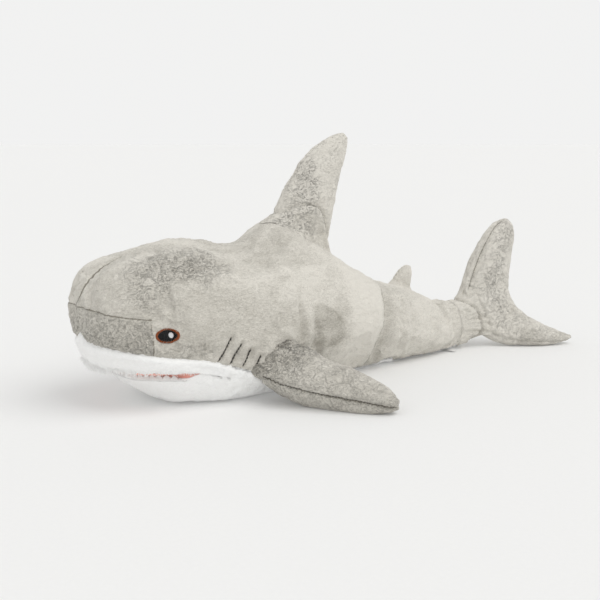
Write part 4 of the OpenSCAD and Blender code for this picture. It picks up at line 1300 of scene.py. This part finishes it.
# Pectoral fins
STITCH = 0.0048
pectoral_front = [[131, -182, 51], [149, -168, 45], [177, -148, 37], [210, -123, 30], [243, -93, 24],
                  [271, -66, 19], [292, -42, 14]]
pectoral_back = [[135, -88, 80], [148, -83, 74], [166, -75, 64], [190, -56, 53], [222, -34, 40],
                 [258, -18, 27], [289, -22, 16]]
pectoral_top = [18 * t for t in (0.5, 0.85, 1, 0.95, 0.86, 0.62, 0.3)]
pectoral_under = [18 * t for t in (0.6, 1.3, 1.8, 1.95, 1.7, 1.15, 0.45)]
for s, sign in BOTH_SIDES:
    ring, share, psi = fin_surface(pectoral_front, pectoral_back, pectoral_under, pectoral_top, 100, 96, 0.3)
    ring[..., 2] = np.maximum(ring[..., 2], ABOVE_FLOOR)
    wide = 0.003 + 0.020 * np.clip(-np.sin(psi), 0, 1) ** 2.0
    ring, share = skirted(ring * [sign, 1, 1], share, psi, wide, body_tree, 0.12, 20, 0.003, 0.0)

    def pectoral_extra(p, share, psi):
        q = flank(p)
        top = np.clip(-np.sin(psi), 0, 1)[None]
        under = np.clip(np.sin(psi), 0, 1)[None]
        near = 1 - smooth(share, 0.05, 0.35)[:, None]
        fold = np.sin((q[..., 1] + 0.7 * q[..., 0]) * 2 * math.pi / 0.026 + 2 * noise(p, 0.03, 81))
        middle_span = (smooth(share, -0.02, 0.15) * (1 - smooth(share, 0.75, 1.0)))[:, None]
        front_under = bump((psi - 0.8)[None], 0.75) * middle_span
        return 1.3 * MM * fold * near * top + 12 * MM * front_under * under

    def pectoral_mask(p, share, psi):
        m = plain_mask(p, share, psi)
        top = np.clip(-np.sin(psi), 0, 1)[None] ** 0.3
        near = (1 - smooth(share, 0.10, 0.42))[:, None]
        m["tousle"] = np.clip(near * (0.5 + 0.6 * top) + 0.34, 0, 1)
        m["dark"] = 0.14 + 0.72 * near * (0.45 + 0.55 * top) * (0.75 + 0.25 * noise(p, 0.03, 82))
        return m

    p, n = fin_piece(f"pectoral_fin_cover_{s}", (ring, share, psi), (dark_plush, "dark_plush"),
                     (f"{s}_pectoral_top_panel", f"{s}_pectoral_bottom_panel", f"{s}_pectoral_filling"),
                     pectoral_mask, extra=pectoral_extra, line=0.0003)
    # Stitches along the front seam
    first = int(np.argmin(np.abs(share - 0.02)))
    seam = p[first:-8, 0] + n[first:-8, 0] * 0.6 * MM
    length = np.concatenate([[0], np.cumsum(np.linalg.norm(np.diff(seam, axis=0), axis=1))])
    arch = (np.sin(np.linspace(0, math.pi, 5)) * 0.7 * MM)[:, None]
    stitches = []
    for k in range(int(length[-1] / STITCH)):
        w = np.linspace(k * STITCH + 0.0006, k * STITCH + 0.0038, 5)
        path = np.stack([np.interp(w, length, seam[:, a]) for a in range(3)], 1)
        beside = np.interp(w, length, np.arange(len(seam))).astype(int)
        stitches.append(path + n[first:-8, 0][beside] * arch)
    stitch = threads(f"pectoral_seam_stitches_{s}", stitches, 0.5 * MM, seam_thread)
    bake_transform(stitch)

# Tail fin
tail_front = [[0, 470, 249], [0, 447, 238], [0, 424, 216], [0, 401, 184], [0, 383, 148], [1, 372, 113],
              [3, 388, 86], [7, 406, 62], [12, 412, 40], [22, 421, 20], [40, 440, 9], [65, 472, 4],
              [86, 508, 3], [96, 545, 4], [98, 573, 8]]
tail_back = [[0, 488, 250], [0, 502, 236], [0, 506, 212], [0, 500, 180], [0, 496, 152], [2, 493, 124],
             [5, 492, 106], [10, 493, 92], [18, 494, 80], [30, 496, 69], [46, 503, 57], [64, 519, 43],
             [80, 540, 31], [92, 562, 21], [97, 578, 14]]
tail_half = [14 * t for t in (0.1, 0.5, 0.8, 0.95, 1, 0.9, 0.9, 0.9, 0.9, 1, 1, 0.95, 0.8, 0.6, 0.25)]
ring, share, psi = fin_surface(tail_front, tail_back, tail_half, tail_half, 170, 84, tip=0.004)
# Round the upper tip too
first = ring[0]
middle = first.mean(0)
tip_way = unit(ring[4].mean(0) - middle)
cap = [middle + (first - middle) * max(math.cos(a), 0.01) - tip_way * math.sin(a) * 0.003
       for a in np.linspace(math.pi / 2, 0, 6, endpoint=False)]
ring = np.concatenate([np.array(cap), ring])
share = np.concatenate([np.linspace(-0.02, 0, 6, endpoint=False), share])
ring[..., 2] = np.maximum(ring[..., 2], ABOVE_FLOOR)
# The root is as thick as the stock that it is sewn to
near = smooth(0.062 - np.abs(ring[..., 2] - 0.058), 0, 0.03) * (1 - smooth(ring[..., 1], 0.405, 0.452))
tail_centre = ring.mean(1, keepdims=True)
side_sign = np.sign(ring[..., 0] - tail_centre[..., 0])
ring[..., 0] = ring[..., 0] + side_sign * near * 0.006


def tail_extra(p, share, psi):
    d, _ = line_distance(p, [[0.035, 0.478, 0.073], [0.033, 0.428, 0.039]])
    d2, _ = line_distance(p, [[0.028, 0.470, 0.084], [0.024, 0.425, 0.060]])
    return -2.6 * MM * bump(d, 4.5 * MM) - 1.8 * MM * bump(d2, 4 * MM) + 1.2 * MM * bump(d - 9 * MM, 5 * MM)


def tail_mask(p, share, psi):
    m = plain_mask(p, share, psi)
    m["plain"] = 0.02 * smooth(0.115 - p[..., 2], 0, 0.02)
    d, _ = line_distance(p, [[0.015, 0.478, 0.235], [0.015, 0.452, 0.17],
                             [0.015, 0.435, 0.11], [0.03, 0.46, 0.05]])
    m["tousle"] = 0.24 + 0.40 * (1 - smooth(d + 0.012 * noise(p, 0.02, 91), 0.0, 0.035))
    lower_lobe = smooth(0.062 - p[..., 2], 0, 0.04) * smooth(p[..., 1], 0.43, 0.47)
    m["dark"] = 0.02 * m["tousle"] + 0.35 * lower_lobe - 0.40
    return m


tail_points, _ = fin_piece("tail_fin_cover", (ring, share, psi), (gray_plush, "gray_plush"),
                           ("tail_fin_panel_left", "tail_fin_panel_right", "tail_fin_filling"),
                           tail_mask,
                           depth=3.0, extra=tail_extra, seam_turn=-0.6, line=0.0004)

# The stock's skin runs on to the sides of the tail fin
tail_tree = grid_tree(tail_points)
side_curve = np.array([[0.384, 0.142], [0.402, 0.120], [0.432, 0.098], [0.447, 0.066],
                       [0.436, 0.036], [0.421, 0.020], [0.417, 0.012]])
# Where the stock ends in a crease seen from the side, y and z
STOCK_CREASE = np.array([[0.351, 0.099], [0.366, 0.093], [0.382, 0.084], [0.396, 0.075], [0.403, 0.060],
                         [0.4055, 0.043], [0.401, 0.031], [0.393, 0.020], [0.385, 0.012]])
COLLAR_Y, COLLAR_ROWS = 0.352, 30
row = int(np.argmin(np.abs(skin[:, HALF_COLUMNS // 2, 1] - COLLAR_Y)))
stock = skin[row - 12:row + 1]
evened = blurred(np.concatenate([stock[:, -24:], stock, stock[:, :24]], axis=1), 7.0, 1)[:, 24:-24]
start_ring = skin[row]
start_way = unit(evened[-1] - evened[0])
start_ring = start_ring + grid_normals(skin, True)[row] * 0.0006
target = curve(side_curve, np.abs(full_theta) / math.pi)
finish, finish_way = np.zeros((AROUND, 3)), np.zeros((AROUND, 3))
for k in range(AROUND):
    sign = 1.0 if full_theta[k] >= 0 else -1.0
    place, normal, _, _ = tail_tree.ray_cast(Vector((sign * 0.2, *target[k])), Vector((-sign, 0, 0)), 0.3)
    if place is None:
        place, normal, _, _ = tail_tree.find_nearest(Vector((0.006, *target[k])))
    normal = np.array(normal)
    normal = normal if normal[0] * sign > 0 else -normal
    finish[k] = np.array(place) - normal * 0.0012
    way = finish[k] - start_ring[k]
    finish_way[k] = unit(way - (way @ normal) * normal)
finish, finish_way = ring_mean(finish, 13), ring_mean(finish_way, 13)
gap = np.linalg.norm(finish - start_ring, axis=1, keepdims=True)
collar = []
for t in np.linspace(0, 1, COLLAR_ROWS):
    c1, c2 = start_ring + start_way * gap * 0.42, finish - finish_way * gap * 0.36
    collar.append(bezier(t, start_ring, c1, c2, finish))
collar = np.array(collar)
collar_normal = grid_normals(collar, True)
if (collar_normal * (collar - collar.mean(1, keepdims=True))).sum() < 0:
    collar_normal = -collar_normal
line_gap, _ = line_distance(collar[..., 1:], STOCK_CREASE)
t = np.linspace(0, 1, COLLAR_ROWS)[:, None]
crease_y = np.interp(collar[..., 2], STOCK_CREASE[::-1, 1], STOCK_CREASE[::-1, 0])
ridge = bump(line_gap - 8 * MM, 5 * MM) * smooth(crease_y - collar[..., 1], 0, 5 * MM)
tuck = 1.8 * MM * ridge - 2.6 * MM * bump(line_gap, 3.0 * MM) + 0.4 * MM * noise(collar, 0.03, 97)
collar = collar + collar_normal * (tuck * smooth(t, 0, 0.15) * (1 - smooth(t, 0.85, 1)))[..., None]
found = plain_mask(collar, None, None)
# Painted shade along the stock's crease, drawn as a seam line and darkened
found["seam"] = line_gap + 0.0006
found["dark"] = found["dark"] + 0.6 * bump(line_gap, 3.5 * MM)
collar_obj = piece("tail_root_cover", piled(collar, collar_normal), None, True, found)
dressed(collar_obj, gray_plush, "gray_plush", (), 0.8)
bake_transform(collar_obj)

# ---- Care label, blank ----
u, v = np.linspace(0, 1, 14), np.linspace(0, 1, 27)
LABEL_TURN, LABEL_WIDE, LABEL_LONG = math.radians(35), 0.014, 0.026
along_label = np.array([math.cos(LABEL_TURN), math.sin(LABEL_TURN), 0])
across_label = np.array([-math.sin(LABEL_TURN), math.cos(LABEL_TURN), 0])
across_label, along_label = across_label * LABEL_WIDE, along_label * LABEL_LONG
pts = np.array([0.0150, 0.3100, 0.0]) + u[:, None, None] * across_label + v[:, None] * along_label
curl = 0.0012 + 0.0016 * np.sin(v * 3.3)
pts = pts + (curl + 0.0006 * noise(pts, 0.012, 95))[..., None] * UP
label = piece("care_label_cloth", pts)
dressed(label, white_felt, "label_cloth", ("care_label",))
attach(label, "rear_body")

# ---- Floor, light, camera ----
around = np.linspace(0, 2 * math.pi, 96, endpoint=False)
floor_rows = [[[r * math.cos(a), r * math.sin(a), -0.0002] for a in around]
              for r in (0.001, 1.0, 2.5, 6.0, 14.0, 30.0, 60.0)]
floor = piece("studio_floor", np.array(floor_rows)[:, ::-1], None, True)
paper = Graph("paper")
grain = paper.noise(paper.attribute("rest", True), 180, 3.0)
paper.plug(paper.shader.inputs["Base Color"], paper.mix(grain, (0.80, 0.80, 0.795), (0.83, 0.83, 0.825)))
paper.shader.inputs["Roughness"].default_value = 0.85
paper.shader.inputs["Emission Color"].default_value = (1, 1, 1, 1)
paper.shader.inputs["Emission Strength"].default_value = 0.054
floor.data.materials.append(paper.material)

world = bpy.data.worlds.new("studio")
bpy.context.scene.world = world
world.use_nodes = True
sky = world.node_tree
background = sky.nodes["Background"]
where = sky.nodes.new("ShaderNodeTexCoord")
split = sky.nodes.new("ShaderNodeSeparateXYZ")
climb = sky.nodes.new("ShaderNodeMapRange")
climb.interpolation_type = "SMOOTHSTEP"
for key, value in (("From Min", 0.12), ("From Max", 0.75), ("To Min", 0.885), ("To Max", 0.62)):
    climb.inputs[key].default_value = value
sky.links.new(where.outputs["Generated"], split.inputs[0])
sky.links.new(split.outputs["Z"], climb.inputs["Value"])
sky.links.new(climb.outputs[0], background.inputs["Strength"])
background.inputs["Color"].default_value = (1.0, 1.0, 0.995, 1)


def sun(name, toward, power, spread_angle, colour=(1, 1, 1)):
    data = bpy.data.lights.new(name, "SUN")
    data.angle, data.energy, data.color = math.radians(spread_angle), power, colour
    obj = bpy.data.objects.new(name, data)
    bpy.context.scene.collection.objects.link(obj)
    obj.rotation_euler = Vector(toward).to_track_quat("Z", "Y").to_euler()


sun("key", (0.42, 0.36, 0.84), 1.15, 50, (1.0, 0.995, 0.98))
sun("fill", (-0.3, -0.9, 0.5), 0.25, 70)

AZIMUTH, ELEVATION, DISTANCE = math.radians(57.2), math.radians(10.1), 1.6
TARGET = Vector((0.008, -0.018, 0.133))
back_dir = Vector((math.sin(AZIMUTH) * math.cos(ELEVATION),
                   -math.cos(AZIMUTH) * math.cos(ELEVATION),
                   math.sin(ELEVATION)))
camera_data = bpy.data.cameras.new("camera")
camera_data.sensor_width = 36
camera_data.angle = 2 * math.atan(300 / 911)
camera = bpy.data.objects.new("camera", camera_data)
bpy.context.scene.collection.objects.link(camera)
camera.location = TARGET + back_dir * DISTANCE
camera.rotation_euler = (-back_dir).to_track_quat("-Z", "Y").to_euler()
bpy.context.scene.camera = camera
bpy.context.scene.view_settings.view_transform = "Standard"
bpy.context.scene.view_settings.look = "None"
